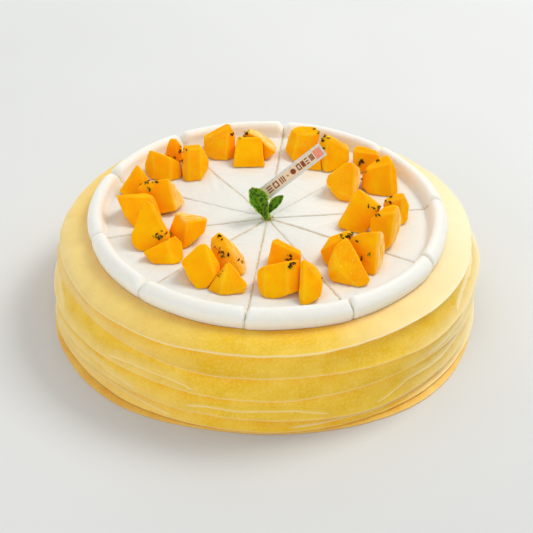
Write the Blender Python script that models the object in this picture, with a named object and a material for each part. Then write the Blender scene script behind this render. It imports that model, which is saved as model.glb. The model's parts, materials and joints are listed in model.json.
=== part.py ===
"""A mango crepe cake: draped crepes, ten cut slices of whipped cream, diced mango, mint and a pick.

The cake stands on z = 0 with its axis on the Z axis, and its front faces -Y. Angles round the cake
are measured from the front, towards +X. Run it with: blender --background --python part.py
"""

import math
import random

import bmesh
import bpy
from mathutils import Vector

MM = 0.001
GAP = 0.3 * MM                     # air left between two pieces that touch

# ---- Crepes ------------------------------------------------------------------------------------
# Each crepe is a flat sheet whose edge hangs down over the one below. A wave is (how many times
# round the cake, how far, at which angle it peaks).
AROUND = 60                        # steps round the cake
HEM_THICKNESS = 1.6 * MM           # edge of a hanging crepe
OVERLAP = 3.5 * MM                 # how far in from its hem a crepe lies flat
TOP_OF_CREPES = 43.1 * MM
FLAT_RADIUS = 84.0 * MM            # the top crepe is flat out to here, then rounds over
CREPES = (
    # hem height, hem radius, height of the flat underside, waves in height, waves in radius
    dict(hem=38.8, radius=95.4, under=41.6, rise=((1, 2.2, 90), (2, 0.4, 0)), swell=((1, -0.6, 90), (7, 0.3, 10))),
    dict(hem=29.7, radius=98.2, under=35.0, rise=((1, -1.8, 90), (5, 0.5, 20)), swell=((1, 1.2, 90), (6, 0.5, 40))),
    dict(hem=18.0, radius=98.8, under=23.5, rise=((2, 0.9, 20), (5, 0.5, -40)), swell=((1, -0.8, 90), (5, 0.5, 0))),
    dict(hem=6.8, radius=99.2, under=12.0, rise=((3, 1.5, -25), (1, 0.4, 0)), swell=((1, -0.8, 90), (8, 0.3, 25))),
    dict(hem=1.9, radius=99.6, under=4.0, rise=((2, 0.3, 60),), swell=((1, -0.5, 90), (9, 0.3, 5))),
)
FOOT_REACH = 1.3 * MM              # the lowest crepe lies out past the hem above it by this much
FOOT_WAVES = ((4, -1.9, 0), (1, -0.5, 90))
FOOT_EDGE = 1.1 * MM

# ---- Whipped cream -----------------------------------------------------------------------------
CUT_ANGLES = (-6, 27, 63, 98, 137, 175, 214, 248, 285, 318)
CUT_HALF_WIDTH = 0.45 * MM
CREAM_BOTTOM = TOP_OF_CREPES + GAP
CREAM_FLOOR = 46.0 * MM
RIM_MIDDLE = 79.0 * MM             # a rim's end draws in towards this radius
RIM_END_HEIGHT = 0.62              # and down to this share of its height
RIM_END_WIDTH = 0.82               # its width shrinks by less
TIP_RADIUS = 3.0 * MM              # the slices' points stop here, round the mint
RIM_PROFILE = (                    # radius and height in mm, from under the rim over it to the floor
    (82.2, 43.4), (83.0, 46.0), (82.7, 49.4), (80.4, 51.8), (78.2, 52.2), (76.4, 50.8), (75.5, 48.0), (74.0, 46.0),
)
RIM_END = 2.6 * MM                 # a slice's rim rounds off over this length at each cut
RIM_STATIONS = (-1.0, -0.97, -0.86, -0.58, -0.2, 0.2, 0.58, 0.86, 0.97, 1.0)

# ---- Mango -------------------------------------------------------------------------------------
CHUNK_BEVEL = 1.3 * MM
CORNER_REACH = {4: 1.50, 6: 1.22}  # corners lie this far out, so that the chamfered chunk is full width
CHUNK_UNEVEN = 0.07                # how far a corner strays, as a share of the chunk's size
CHUNK_SHAPES = {
    # sides, width and depth of the bottom, width and depth of the top, how far the top leans
    "block": (4, 1.0, 1.0, 0.82, 0.66, 0.0, 0.08),
    "ridge": (4, 1.0, 1.0, 0.80, 0.30, -0.12, 0.10),
    "peak": (4, 1.0, 1.0, 0.26, 0.26, -0.08, 0.10),
    "cone": (6, 1.0, 1.0, 0.34, 0.34, -0.05, 0.08),
    "flare": (4, 0.46, 0.55, 1.0, 0.90, 0.0, 0.04),
    "bud": (6, 0.55, 0.60, 1.0, 0.85, 0.0, 0.06),
    "round": (6, 0.90, 0.92, 0.88, 0.62, 0.0, 0.08),
}
CHUNKS = {
    # across, back, turn in degrees, width, depth, height, shape; three to a slice
    "a": ((-23, 57, 32, 13, 12, 12, "block"), (-9, 48, 2, 16, 10, 13, "block"), (-3, 58, -14, 16, 9, 13, "ridge")),
    "b": ((-50, 36, -28, 16, 12, 13, "ridge"), (-44, 49, 15, 10, 10, 13, "ridge"), (-35, 36, 4, 14, 13, 15, "round")),
    "c": ((-62, 19, 14, 16, 10, 15, "peak"), (-48, 10, -22, 19, 13, 13, "ridge"), (-58, -6, 4, 24, 12, 13, "flare")),
    "d": ((-53, -20, 0, 16, 16, 17, "cone"), (-37, -23, -16, 19, 12, 13, "flare"), (-46, -35, 14, 19, 10, 11, "round")),
    "e": ((-28, -49, -12, 17, 14, 16, "bud"), (-17, -41, -34, 15, 13, 13, "round"), (-16, -56, 8, 17, 10, 13, "peak")),
    "f": ((7, -45, -20, 15, 11, 15, "ridge"), (5, -58, 6, 18, 10, 13, "block"), (19, -58, -8, 11, 15, 15, "round")),
    "g": ((31, -32, 28, 13, 10, 11, "block"), (36, -47, -14, 18, 15, 18, "cone"), (46, -38, 6, 15, 13, 14, "flare")),
    "h": ((42, -4, -16, 19, 15, 17, "peak"), (58, -1, 12, 12, 10, 13, "round"), (53, -21, 14, 14, 14, 15, "flare")),
    "i": ((36, 19, 22, 15, 13, 15, "round"), (48, 43, -12, 13, 10, 12, "block"), (53, 24, -14, 17, 13, 16, "round")),
    "j": ((17, 56, -12, 16, 11, 13, "block"), (32, 46, -28, 15, 12, 15, "round"), (22, 44, 8, 9, 7, 8, "block")),
}
CHUNK_SEED = 11

# ---- Mint and pick -----------------------------------------------------------------------------
STEM_RADIUS = 1.0 * MM
STEM_TOP = 48.5 * MM
LEAVES = {
    # base, tip, width, how far the middle lifts out of a straight line
    "mint_leaf_1": ((-1.7, -1.2, 47.0), (-8.4, 2.6, 59.5), 8.6, 1.2),
    "mint_leaf_2": ((1.0, 1.9, 47.0), (4.8, 5.2, 56.4), 6.0, 0.9),
}
LEAF_THICKNESS = 0.7 * MM
LEAF_FOLD = 0.28                   # the two halves fold up from the midrib by this share of the width
LEAF_STEPS = 6
FACING = Vector((0.0, -0.8, 0.6))  # the leaves and the pick's card look out of the cake this way
PICK_THICKNESS = 0.6 * MM
PICK_STATIONS = (
    # across, back, up, width
    (-3.2, 6.6, 46.4, 0.8), (-3.4, 6.4, 52.4, 1.2), (-2.4, 7.0, 53.8, 6.0), (24.6, 16.8, 72.2, 6.0),
)


def clear_scene():
    for old in list(bpy.data.objects):
        bpy.data.objects.remove(old, do_unlink=True)


def material(name, colour, roughness):
    made = bpy.data.materials.new(name)
    made.use_nodes = True
    shader = made.node_tree.nodes["Principled BSDF"]
    shader.inputs["Base Color"].default_value = (*colour, 1.0)
    shader.inputs["Roughness"].default_value = roughness
    shader.inputs["Metallic"].default_value = 0.0
    return made


def add_piece(name, verts, faces, finish, smooth_below=math.radians(50)):
    mesh = bpy.data.meshes.new(name)
    mesh.from_pydata([tuple(v) for v in verts], [], faces)
    mesh.materials.append(finish)
    mesh.shade_smooth()
    mesh.set_sharp_from_angle(angle=smooth_below)
    piece = bpy.data.objects.new(name, mesh)
    bpy.context.scene.collection.objects.link(piece)
    return piece


def polar(radius, angle, height):
    """A point at an angle in radians from the front, towards +X."""
    return Vector((radius * math.sin(angle), -radius * math.cos(angle), height))


def wave(terms, angle):
    """Sum of cosine waves round the cake, given in mm and degrees."""
    return sum(size * math.cos(times * (angle - math.radians(peak))) for times, size, peak in terms) * MM


# ---- Crepes ------------------------------------------------------------------------------------
def hem(crepe, angle):
    """Radius and height of a crepe's hanging edge."""
    radius = crepe["radius"] * MM + wave(crepe["swell"], angle)
    height = crepe["hem"] * MM + wave(crepe["rise"], angle)
    return radius, height


def underside(crepe, angle):
    """From the flat middle out to the inner corner of the hem: radius and height."""
    radius, height = hem(crepe, angle)
    inner = radius - HEM_THICKNESS
    flat = crepe["under"] * MM
    halfway = height + 0.65 * (flat - height)
    return [(inner - OVERLAP, flat), (inner - 0.35 * OVERLAP, halfway), (inner, height)]


def top_over(crepe_above, angle):
    """The next crepe's top follows the one above, one gap away."""
    return [(r - GAP, z - GAP) for r, z in underside(crepe_above, angle)]


def rounded_shoulder(crepe, angle):
    """The uppermost crepe, flat under the cream and rounding down to its hem."""
    radius, height = hem(crepe, angle)
    drop = TOP_OF_CREPES - height - HEM_THICKNESS / 2
    shoulder = [(FLAT_RADIUS, TOP_OF_CREPES)]
    for share_out, share_down in ((0.45, 0.20), (0.82, 0.58)):
        shoulder.append((FLAT_RADIUS + share_out * (radius - FLAT_RADIUS), TOP_OF_CREPES - share_down * drop))
    return shoulder


def skirt(start, end):
    """The hanging part: steep below the hem above it, flaring out towards its own hem."""
    (r0, z0), (r1, z1) = start, end
    return [(r0 + down ** 1.5 * (r1 - r0), z0 + down * (z1 - z0)) for down in (0.35, 0.75)]


def crepe_section(index, angle):
    """Radius and height round one side of a crepe, from above to below, without the two centres."""
    crepe = CREPES[index]
    radius, height = hem(crepe, angle)
    corner = (radius, height + HEM_THICKNESS / 3)
    if index == 0:
        upper = rounded_shoulder(crepe, angle)
    else:
        upper = top_over(CREPES[index - 1], angle)
        upper += skirt(upper[-1], corner)
    return upper + [corner], list(reversed(underside(crepe, angle)))


def foot_section(angle):
    """The lowest crepe lies flat, its edge reaching out on the table."""
    above = CREPES[-1]
    upper = top_over(above, angle)
    radius = hem(above, angle)[0] + FOOT_REACH + wave(FOOT_WAVES, angle)
    upper += [(radius - HEM_THICKNESS / 2, FOOT_EDGE + 0.2 * MM), (radius, FOOT_EDGE / 2)]
    return upper, [(radius - HEM_THICKNESS / 4, 0.0)]


def turned_solid(name, section, top_height, bottom_height, finish):
    """Skin the sections taken all round, and close them with a centre point above and below."""
    angles = [math.tau * step / AROUND for step in range(AROUND)]
    sections = [section(angle) for angle in angles]
    upper_count = len(sections[0][0])
    rings = upper_count + len(sections[0][1])
    verts = [Vector((0, 0, top_height))]
    for ring in range(rings):
        for angle, (upper, lower) in zip(angles, sections):
            verts.append(polar((upper + lower)[ring][0], angle, (upper + lower)[ring][1]))
    verts.append(Vector((0, 0, bottom_height)))
    faces = []
    for step in range(AROUND):
        after = (step + 1) % AROUND
        faces.append((0, 1 + step, 1 + after))
        for ring in range(rings - 1):
            a, b = 1 + ring * AROUND, 1 + (ring + 1) * AROUND
            if ring < upper_count:
                faces += [(a + step, b + step, b + after), (a + step, b + after, a + after)]
            else:
                faces += [(a + step, b + step, a + after), (b + step, b + after, a + after)]
        last = 1 + (rings - 1) * AROUND
        faces.append((len(verts) - 1, last + after, last + step))
    return add_piece(name, verts, faces, finish)


def add_crepes(finish):
    for index, crepe in enumerate(CREPES):
        top = TOP_OF_CREPES if index == 0 else CREPES[index - 1]["under"] * MM - GAP
        turned_solid(
            f"crepe_{index + 1}", lambda angle, i=index: crepe_section(i, angle), top, crepe["under"] * MM, finish
        )
    foot_top = CREPES[-1]["under"] * MM - GAP
    turned_solid(f"crepe_{len(CREPES) + 1}", foot_section, foot_top, 0.0, finish)


# ---- Whipped cream -----------------------------------------------------------------------------
def slice_profile(shrink):
    """Cream from its point underneath, out round the rim and back to its point on top.

    shrink is 1 in the middle of the slice, and less where the rim rounds off at a cut."""
    narrow = RIM_END_WIDTH + (1 - RIM_END_WIDTH) * shrink
    profile = [(TIP_RADIUS, CREAM_BOTTOM)]
    for radius, height in RIM_PROFILE:
        radius = RIM_MIDDLE + (radius * MM - RIM_MIDDLE) * narrow
        height = CREAM_BOTTOM + (height * MM - CREAM_BOTTOM) * (shrink if height * MM > CREAM_FLOOR else 1.0)
        profile.append((radius, max(height, CREAM_BOTTOM)))
    profile[-1] = (profile[-1][0], CREAM_FLOOR)
    profile.append((TIP_RADIUS, CREAM_FLOOR))
    return profile


def slice_point(radius, height, middle, half, station):
    """A point across the slice. Stations -1 and 1 run along the two cuts, which stay parallel-sided."""
    reach = half - math.asin(min(1.0, CUT_HALF_WIDTH / radius))
    return polar(radius, middle + station * reach, height)


def add_cream_slices(finish):
    for index, start in enumerate(CUT_ANGLES):
        end = CUT_ANGLES[(index + 1) % len(CUT_ANGLES)]
        span = math.radians((end - start) % 360)
        middle = math.radians(start) + span / 2
        verts = []
        for station in RIM_STATIONS:
            from_cut = (1 - abs(station)) * span / 2 * RIM_PROFILE[0][0] * MM
            full = math.sin(math.pi / 2 * min(1.0, from_cut / RIM_END))
            shrink = RIM_END_HEIGHT + (1 - RIM_END_HEIGHT) * full
            for radius, height in slice_profile(shrink):
                verts.append(slice_point(radius, height, middle, span / 2, station))
        count = len(verts) // len(RIM_STATIONS)
        faces = []
        for station in range(len(RIM_STATIONS) - 1):
            for point in range(count):
                a, b = station * count + point, station * count + (point + 1) % count
                faces += [(a, b, b + count), (a, b + count, a + count)]
        faces.append(tuple(reversed(range(count))))
        faces.append(tuple(range(len(verts) - count, len(verts))))
        add_piece(f"cream_slice_{index + 1:02d}", verts, faces, finish, math.radians(40))


# ---- Mango -------------------------------------------------------------------------------------
def chunk_corners(shape, width, depth, height, dice):
    """Bottom and top outlines of one chunk, about its own middle, a little uneven as knife cuts are."""
    sides, bottom_w, bottom_d, top_w, top_d, lean_x, lean_y = CHUNK_SHAPES[shape]
    rings = []
    for level, share_w, share_d in ((0.0, bottom_w, bottom_d), (1.0, top_w, top_d)):
        ring = []
        for side in range(sides):
            angle = math.tau * (side + 0.5) / sides
            stretch = CORNER_REACH[sides]
            x = math.cos(angle) * stretch * share_w + level * lean_x
            y = math.sin(angle) * stretch * share_d + level * lean_y
            x += dice.uniform(-CHUNK_UNEVEN, CHUNK_UNEVEN)
            y += dice.uniform(-CHUNK_UNEVEN, CHUNK_UNEVEN)
            z = level * (1 + dice.uniform(-CHUNK_UNEVEN, CHUNK_UNEVEN))
            ring.append(Vector((x * width / 2, y * depth / 2, z * height)))
        rings.append(ring)
    return rings


def chamfer(point, first, second):
    """Step in from a corner along the two edges of one face."""
    step_a = (first - point).normalized() * min(CHUNK_BEVEL, (first - point).length * 0.4)
    step_b = (second - point).normalized() * min(CHUNK_BEVEL, (second - point).length * 0.4)
    return point + step_a + step_b


def chunk_cloud(rings):
    """Three points for each corner, one on each face that meets there: their hull has chamfered edges."""
    cloud = []
    for level, ring in enumerate(rings):
        other = rings[1 - level]
        for side, point in enumerate(ring):
            before, after, across = ring[side - 1], ring[(side + 1) % len(ring)], other[side]
            cloud += [chamfer(point, a, b) for a, b in ((before, after), (before, across), (after, across))]
    return cloud


def separation(one, two):
    """How far apart two convex clouds of points are along the best level direction, and that direction."""
    best = (-math.inf, None)
    for step in range(72):
        direction = polar(1.0, math.tau * step / 72, 0.0)
        space = min(p.dot(direction) for p in two) - max(p.dot(direction) for p in one)
        best = max(best, (space, step))
    return best[0], polar(1.0, math.tau * best[1] / 72, 0.0)


def nudge_apart(clouds):
    """Slide chunks that touch away from each other until a gap is left."""
    for _ in range(40):
        for i, one in enumerate(clouds):
            for two in clouds[i + 1:]:
                space, direction = separation(one, two)
                if space < GAP:
                    shift = direction * (GAP * 1.05 - space) / 2
                    for point in one:
                        point -= shift
                    for point in two:
                        point += shift


def hull_faces(points):
    """Triangles of the convex hull of a cloud, facing out."""
    shell = bmesh.new()
    for point in points:
        shell.verts.new(point)
    made = bmesh.ops.convex_hull(shell, input=shell.verts)
    inside = [v for v in made["geom_interior"] if isinstance(v, bmesh.types.BMVert)]
    bmesh.ops.delete(shell, geom=inside, context="VERTS")
    bmesh.ops.recalc_face_normals(shell, faces=shell.faces)
    shell.verts.index_update()
    verts = [v.co.copy() for v in shell.verts]
    faces = [tuple(v.index for v in face.verts) for face in shell.faces]
    shell.free()
    return verts, faces


def add_mango(finish):
    dice = random.Random(CHUNK_SEED)
    for heap, rows in CHUNKS.items():
        clouds = []
        for across, back, turn, width, depth, height, shape in rows:
            rings = chunk_corners(shape, width * MM, depth * MM, height * MM, dice)
            cloud = chunk_cloud(rings)
            cos, sin = math.cos(math.radians(turn)), math.sin(math.radians(turn))
            lowest = min(p.z for p in cloud)
            place = Vector((across * MM, back * MM, CREAM_FLOOR + GAP - lowest))
            clouds.append([Vector((p.x * cos - p.y * sin, p.x * sin + p.y * cos, p.z)) + place for p in cloud])
        nudge_apart(clouds)
        for number, cloud in enumerate(clouds, start=1):
            verts, faces = hull_faces(cloud)
            add_piece(f"mango_{heap}{number}", verts, faces, finish, math.radians(20))


# ---- Mint and pick -----------------------------------------------------------------------------
def add_stem(finish):
    sides = 8
    bottom = CREAM_BOTTOM
    verts = [polar(STEM_RADIUS, math.tau * side / sides, bottom) for side in range(sides)]
    verts += [polar(STEM_RADIUS * 0.8, math.tau * side / sides, STEM_TOP) for side in range(sides)]
    faces = [tuple(reversed(range(sides))), tuple(range(sides, 2 * sides))]
    for side in range(sides):
        after = (side + 1) % sides
        faces.append((side, after, after + sides, side + sides))
    add_piece("mint_stem", verts, faces, finish)


def add_leaf(name, base, tip, width, lift, finish):
    """A blade folded along its midrib, widest a little below the middle."""
    base, tip = Vector(base) * MM, Vector(tip) * MM
    along = (tip - base).normalized()
    out = (FACING - FACING.dot(along) * along).normalized()
    across = along.cross(out)
    verts = []
    for step in range(LEAF_STEPS + 1):
        share = step / LEAF_STEPS
        half = width * MM / 2 * (0.18 + 0.82 * math.sin(math.pi * share ** 0.8) ** 0.8 if 0 < share < 1 else 0.15)
        middle = base.lerp(tip, share) + out * lift * MM * math.sin(math.pi * share)
        fold = out * LEAF_FOLD * half
        for side, raise_by in ((-1, fold), (0, Vector()), (1, fold)):
            edge = middle + across * side * half + raise_by
            thin = LEAF_THICKNESS / 2 * (1.0 if side == 0 else 0.6)
            verts += [edge + out * thin, edge - out * thin]
    row = 6
    loop = (0, 2, 4, 5, 3, 1)
    faces = []
    for step in range(LEAF_STEPS):
        a, b = step * row, (step + 1) * row
        for here, there in zip(loop, loop[1:] + loop[:1]):
            faces += [(a + here, b + here, b + there), (a + here, b + there, a + there)]
    last = LEAF_STEPS * row
    for first, flip in ((0, False), (last, True)):
        ends = [(first, first + 2, first + 3, first + 1), (first + 2, first + 4, first + 5, first + 3)]
        faces += [tuple(reversed(end)) for end in ends] if flip else ends
    return add_piece(name, verts, faces, finish)


def add_pick(finish):
    """A flat card on a short spike, as one bent strip."""
    points = [Vector(row[:3]) * MM for row in PICK_STATIONS]
    widths = [row[3] * MM for row in PICK_STATIONS]
    along = (points[-1] - points[-2]).normalized()
    out = (FACING - FACING.dot(along) * along).normalized()
    across = along.cross(out)
    spike_side, spike_face = Vector((1, 0, 0)), Vector((0, -1, 0))
    verts = []
    for number, (point, width) in enumerate(zip(points, widths)):
        side, face = (across, out) if number > 1 else (spike_side, spike_face)
        half, thick = side * width / 2, face * PICK_THICKNESS / 2
        verts += [point - half + thick, point + half + thick, point + half - thick, point - half - thick]
    faces = [(0, 1, 2, 3), tuple(reversed(range(len(verts) - 4, len(verts))))]
    for step in range(len(points) - 1):
        a = step * 4
        for here in range(4):
            there = (here + 1) % 4
            faces += [(a + here, a + 4 + here, a + 4 + there), (a + here, a + 4 + there, a + there)]
    add_piece("pick", verts, faces, finish)


def face_outwards():
    """Turn every piece's faces to look out."""
    for piece in bpy.data.objects:
        shell = bmesh.new()
        shell.from_mesh(piece.data)
        bmesh.ops.recalc_face_normals(shell, faces=shell.faces)
        shell.to_mesh(piece.data)
        shell.free()


def main():
    clear_scene()
    crepe = material("cooked egg crepe", (0.80, 0.55, 0.08), 0.6)
    cream = material("whipped cream", (0.90, 0.89, 0.84), 0.55)
    mango = material("ripe mango", (1.0, 0.42, 0.01), 0.3)
    mint = material("mint", (0.10, 0.28, 0.02), 0.5)
    card = material("printed card", (0.78, 0.66, 0.52), 0.6)
    add_crepes(crepe)
    add_cream_slices(cream)
    add_mango(mango)
    add_stem(mint)
    for name, (base, tip, width, lift) in LEAVES.items():
        add_leaf(name, base, tip, width, lift, mint)
    add_pick(card)
    face_outwards()


main()
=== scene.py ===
# %% [markdown]
# # A mango crepe cake
# Thin egg crepes are draped over a round cake, one above the other, so that their edges hang in
# five overlapping tiers. Ten slices of whipped cream with a raised rim lie on top, each with three
# pieces of fresh mango, and a mint sprig and a small card stand in the middle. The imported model
# gives the true sizes and places; this lesson replaces its plain solids with finer meshes and gives
# every surface a finish. Everything is in metres, Z is up, and the front of the cake faces -Y.

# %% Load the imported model
import itertools
import json
import math
import random

import bmesh
import bpy
import numpy as np
from mathutils import Matrix, Vector, noise
from mathutils.bvhtree import BVHTree

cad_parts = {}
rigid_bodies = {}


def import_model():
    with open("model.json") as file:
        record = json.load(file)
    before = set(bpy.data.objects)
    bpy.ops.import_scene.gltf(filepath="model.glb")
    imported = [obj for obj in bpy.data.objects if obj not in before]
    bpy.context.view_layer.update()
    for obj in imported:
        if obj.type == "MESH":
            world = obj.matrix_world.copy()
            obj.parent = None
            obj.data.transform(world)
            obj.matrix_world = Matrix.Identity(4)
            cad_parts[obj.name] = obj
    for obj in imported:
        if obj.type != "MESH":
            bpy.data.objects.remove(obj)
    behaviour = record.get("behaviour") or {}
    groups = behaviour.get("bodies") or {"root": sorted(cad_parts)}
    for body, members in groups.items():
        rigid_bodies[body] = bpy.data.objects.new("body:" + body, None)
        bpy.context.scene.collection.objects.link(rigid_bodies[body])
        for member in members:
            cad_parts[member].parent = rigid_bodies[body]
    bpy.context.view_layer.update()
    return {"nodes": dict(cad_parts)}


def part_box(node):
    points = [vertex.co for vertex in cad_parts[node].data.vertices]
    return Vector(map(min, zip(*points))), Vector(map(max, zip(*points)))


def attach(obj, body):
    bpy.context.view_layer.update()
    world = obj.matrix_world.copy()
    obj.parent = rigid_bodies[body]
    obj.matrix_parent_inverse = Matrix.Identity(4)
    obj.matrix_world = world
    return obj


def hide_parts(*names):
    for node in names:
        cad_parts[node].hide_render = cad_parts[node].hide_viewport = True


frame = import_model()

MM = 0.001

# %% [markdown]
# ## Points round a cake
# Nearly everything here goes round the middle, so one function turns a radius, an angle and a
# height into a point. Angles run from the front towards +X. Loops of such points, stacked as rings,
# make every round piece: it is the same idea as Blender's Screw modifier, but each ring may wave as
# it likes, which a Screw can't do.

# %% Polar points, and rings skinned into a mesh
def polar(radius, angle, height):
    """Points for arrays (or single values) of radius, angle in radians and height."""
    radius, angle, height = np.broadcast_arrays(radius, angle, height)
    return np.stack((radius * np.sin(angle), -radius * np.cos(angle), height), axis=-1)


def skin(rows, closed):
    """Quads between neighbouring rows of equally many points; closed joins each row's ends."""
    count = len(rows[0])
    faces = []
    for row in range(len(rows) - 1):
        here, there = row * count, (row + 1) * count
        for a in range(count if closed else count - 1):
            b = (a + 1) % count
            faces.append((here + a, there + a, there + b, here + b))
    return np.concatenate(rows), faces


# %% [markdown]
# ## Adding a piece
# A piece is a mesh with a finish that rides on the cake's one body, "root". A float attribute on
# the points, such as "how far below the edge above", lets a material change over the piece without
# any image.

# %% One function adds a piece
def add_piece(name, verts, faces, finish, slot, replaces=(), smooth_below=50, **attributes):
    mesh = bpy.data.meshes.new(name)
    mesh.from_pydata([tuple(map(float, v)) for v in verts], [], faces)
    mesh.materials.append(finish)
    for label, values in attributes.items():
        layer = mesh.attributes.new(label, "FLOAT", "POINT")
        layer.data.foreach_set("value", np.asarray(values, dtype=np.float32))
    shell = bmesh.new()
    shell.from_mesh(mesh)
    bmesh.ops.recalc_face_normals(shell, faces=shell.faces)
    shell.to_mesh(mesh)
    shell.free()
    mesh.shade_smooth()
    mesh.set_sharp_from_angle(angle=math.radians(smooth_below))
    piece = bpy.data.objects.new(name, mesh)
    bpy.context.scene.collection.objects.link(piece)
    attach(piece, "root")
    if replaces:
        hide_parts(*replaces)
    print(f"{name}: {len(mesh.vertices)} points")
    return piece


# %% [markdown]
# ## Colours and nodes
# Colours are written as the sRGB hex values that a paint program shows, and one function turns them
# linear, because Blender's sockets hold linear light. One more function adds any node: properties
# are set, plain values go into inputs, and sockets are linked. Patterns take their size from real
# millimetres: a Noise Texture's scale is one over the size of its blotches.

# %% Linear colours, one node at a time, and a start for each finish
def linear(hex_colour):
    channels = [int(hex_colour[i:i + 2], 16) / 255 for i in (1, 3, 5)]
    return (*[c / 12.92 if c <= 0.04045 else ((c + 0.055) / 1.055) ** 2.4 for c in channels], 1.0)


def add_node(finish, kind, inputs=(), stops=(), **settings):
    """Add a node; an input that is given a socket is linked, and stops fill a colour ramp."""
    tree = finish.node_tree
    node = tree.nodes.new(kind)
    for key, value in settings.items():
        setattr(node, key, value)
    for key, value in dict(inputs).items():
        if isinstance(value, bpy.types.NodeSocket):
            tree.links.new(value, node.inputs[key])
        else:
            node.inputs[key].default_value = value
    for number, (position, hex_colour) in enumerate(stops):
        elements = node.color_ramp.elements
        element = elements[number] if number < 2 else elements.new(position)
        element.position = position
        element.color = linear(hex_colour)
    return node


def new_finish(name, **sockets):
    """A material whose shader has these values; underscores in their names stand for spaces."""
    finish = bpy.data.materials.new(name)
    finish.use_nodes = True
    shader = finish.node_tree.nodes["Principled BSDF"]
    for key, value in sockets.items():
        shader.inputs[key.replace("_", " ")].default_value = value
    return finish, shader


def blotches(size_mm):
    """The Scale that makes a noise or cell pattern this coarse."""
    return 1 / (size_mm * MM)


# %% [markdown]
# ## Unevenness
# Food is never exact. `ripple` gives a smooth random value round the cake that meets itself again
# after a full turn, because it walks a circle through 3-D noise. It is Blender's own noise, so it
# is the same on every run.

# %% Ripples round the cake
RIPPLE_RADIUS = 98 * MM


def ripple(angles, wavelength_mm, seed):
    """Smooth noise of about -1 to 1 at each angle; neighbouring bumps are a wavelength apart."""
    reach = RIPPLE_RADIUS / (wavelength_mm * MM)
    return np.array([noise.noise(Vector((reach * math.sin(a), reach * math.cos(a), seed))) for a in angles])


def wave(terms, angles):
    """Sum of cosine waves, each (times round the cake, size in mm, angle of its peak in degrees)."""
    return sum(size * np.cos(times * (angles - math.radians(peak))) for times, size, peak in terms) * MM


# %% [markdown]
# ## The crepes' hems
# Each crepe is a sheet whose edge, its hem, hangs over the one below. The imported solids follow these
# same waves. Here the hems also get the small ripples of a soft sheet, in and out and up and down,
# with a point about every 0.8 mm.

# %% Where every hem runs
AROUND = 720
ANGLES = np.arange(AROUND) * math.tau / AROUND
GAP = 0.3 * MM
HEM_THICKNESS = 1.6 * MM
OVERLAP = 3.5 * MM
TOP_OF_CREPES = 43.1 * MM
FLAT_RADIUS = 84.0 * MM
CREPES = (
    dict(hem=38.8, radius=95.4, under=41.6, rise=((1, 2.2, 90), (2, 0.4, 0)), swell=((1, -0.6, 90), (7, 0.3, 10))),
    dict(hem=29.7, radius=98.2, under=35.0, rise=((1, -1.8, 90), (5, 0.5, 20)), swell=((1, 1.2, 90), (6, 0.5, 40))),
    dict(hem=18.0, radius=98.8, under=23.5, rise=((2, 0.9, 20), (5, 0.5, -40)), swell=((1, -0.8, 90), (5, 0.5, 0))),
    dict(hem=6.8, radius=99.2, under=12.0, rise=((3, 1.5, -25), (1, 0.4, 0)), swell=((1, -0.8, 90), (8, 0.3, 25))),
    dict(hem=1.9, radius=99.6, under=4.0, rise=((2, 0.3, 60),), swell=((1, -0.5, 90), (9, 0.3, 5))),
)
FOOT_REACH = 1.3 * MM
FOOT_WAVES = ((4, -1.9, 0), (1, -0.5, 90))
FOOT_EDGE = 1.1 * MM
RIPPLES = ((26, 0.45), (9, 0.22), (4, 0.08))  # wavelength and size in mm


def hem(index, angles):
    """Radius and height of a hem, ripples and all."""
    crepe = CREPES[index]
    radius = crepe["radius"] * MM + wave(crepe["swell"], angles)
    height = crepe["hem"] * MM + wave(crepe["rise"], angles)
    room = 0.4 if crepe is CREPES[-1] else 1.0
    for number, (wavelength, size) in enumerate(RIPPLES):
        radius = radius + size * MM * ripple(angles, wavelength, 3.7 * index + number)
        height = height + room * size * MM * ripple(angles, wavelength * 1.2, 50 + 3.7 * index + number)
    return radius, height


for number in range(len(CREPES)):
    radii, heights = hem(number, ANGLES)
    print(f"hem {number + 1}: {radii.min() / MM:.1f} to {radii.max() / MM:.1f} mm out,",
          f"{heights.min() / MM:.1f} to {heights.max() / MM:.1f} mm up")

# %% [markdown]
# ## From hem to hem
# Below the hem above it, a crepe falls steeply and then flares out to its own hem, which ends in a
# thin lip. The skirt is one curve from (r0, z0) to (r1, z1) whose power of 1.5 does the flaring.
# A soft relief on it gives the shallow folds of a draped sheet. It fades to nothing at both ends, so
# that no sheet cuts through its neighbour.

# %% The skirt between two hems
SKIRT_ROWS = 18
SKIRT_POWER = 1.5
LIP_FLARE = 0.25 * MM
FOLDS = ((30, 0.55), (11, 0.22), (5, 0.10))   # wavelength and depth in mm


def skirt_start(index, angles):
    """Where a crepe comes out from under the hem above."""
    radius, height = hem(index - 1, angles)
    return radius - HEM_THICKNESS - GAP, height - GAP


def skirt_point(index, angles, down):
    """Radius and height on a crepe's skirt, down being 0 at its start and 1 at its hem."""
    r0, z0 = skirt_start(index, angles)
    r1, z1 = hem(index, angles)
    z1 = z1 + HEM_THICKNESS / 3
    flare = LIP_FLARE * np.clip((down - 0.86) / 0.14, 0, 1) ** 2
    return r0 + down ** SKIRT_POWER * (r1 - r0) + flare, z0 + down * (z1 - z0)


def folds(angles, heights, down, seed):
    """In and out relief of the draped sheet, none at the two ends of the skirt."""
    depth = np.zeros(len(angles))
    for number, (wavelength, size) in enumerate(FOLDS):
        reach = RIPPLE_RADIUS / (wavelength * MM)
        rise = 2.2 / (wavelength * MM)
        depth += [size * MM * noise.noise(Vector((reach * math.sin(a), reach * math.cos(a), z * rise + seed + number)))
                  for a, z in zip(angles, heights)]
    return depth * np.abs(np.sin(math.pi * np.minimum(1.0, down))) ** 0.8


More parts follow.
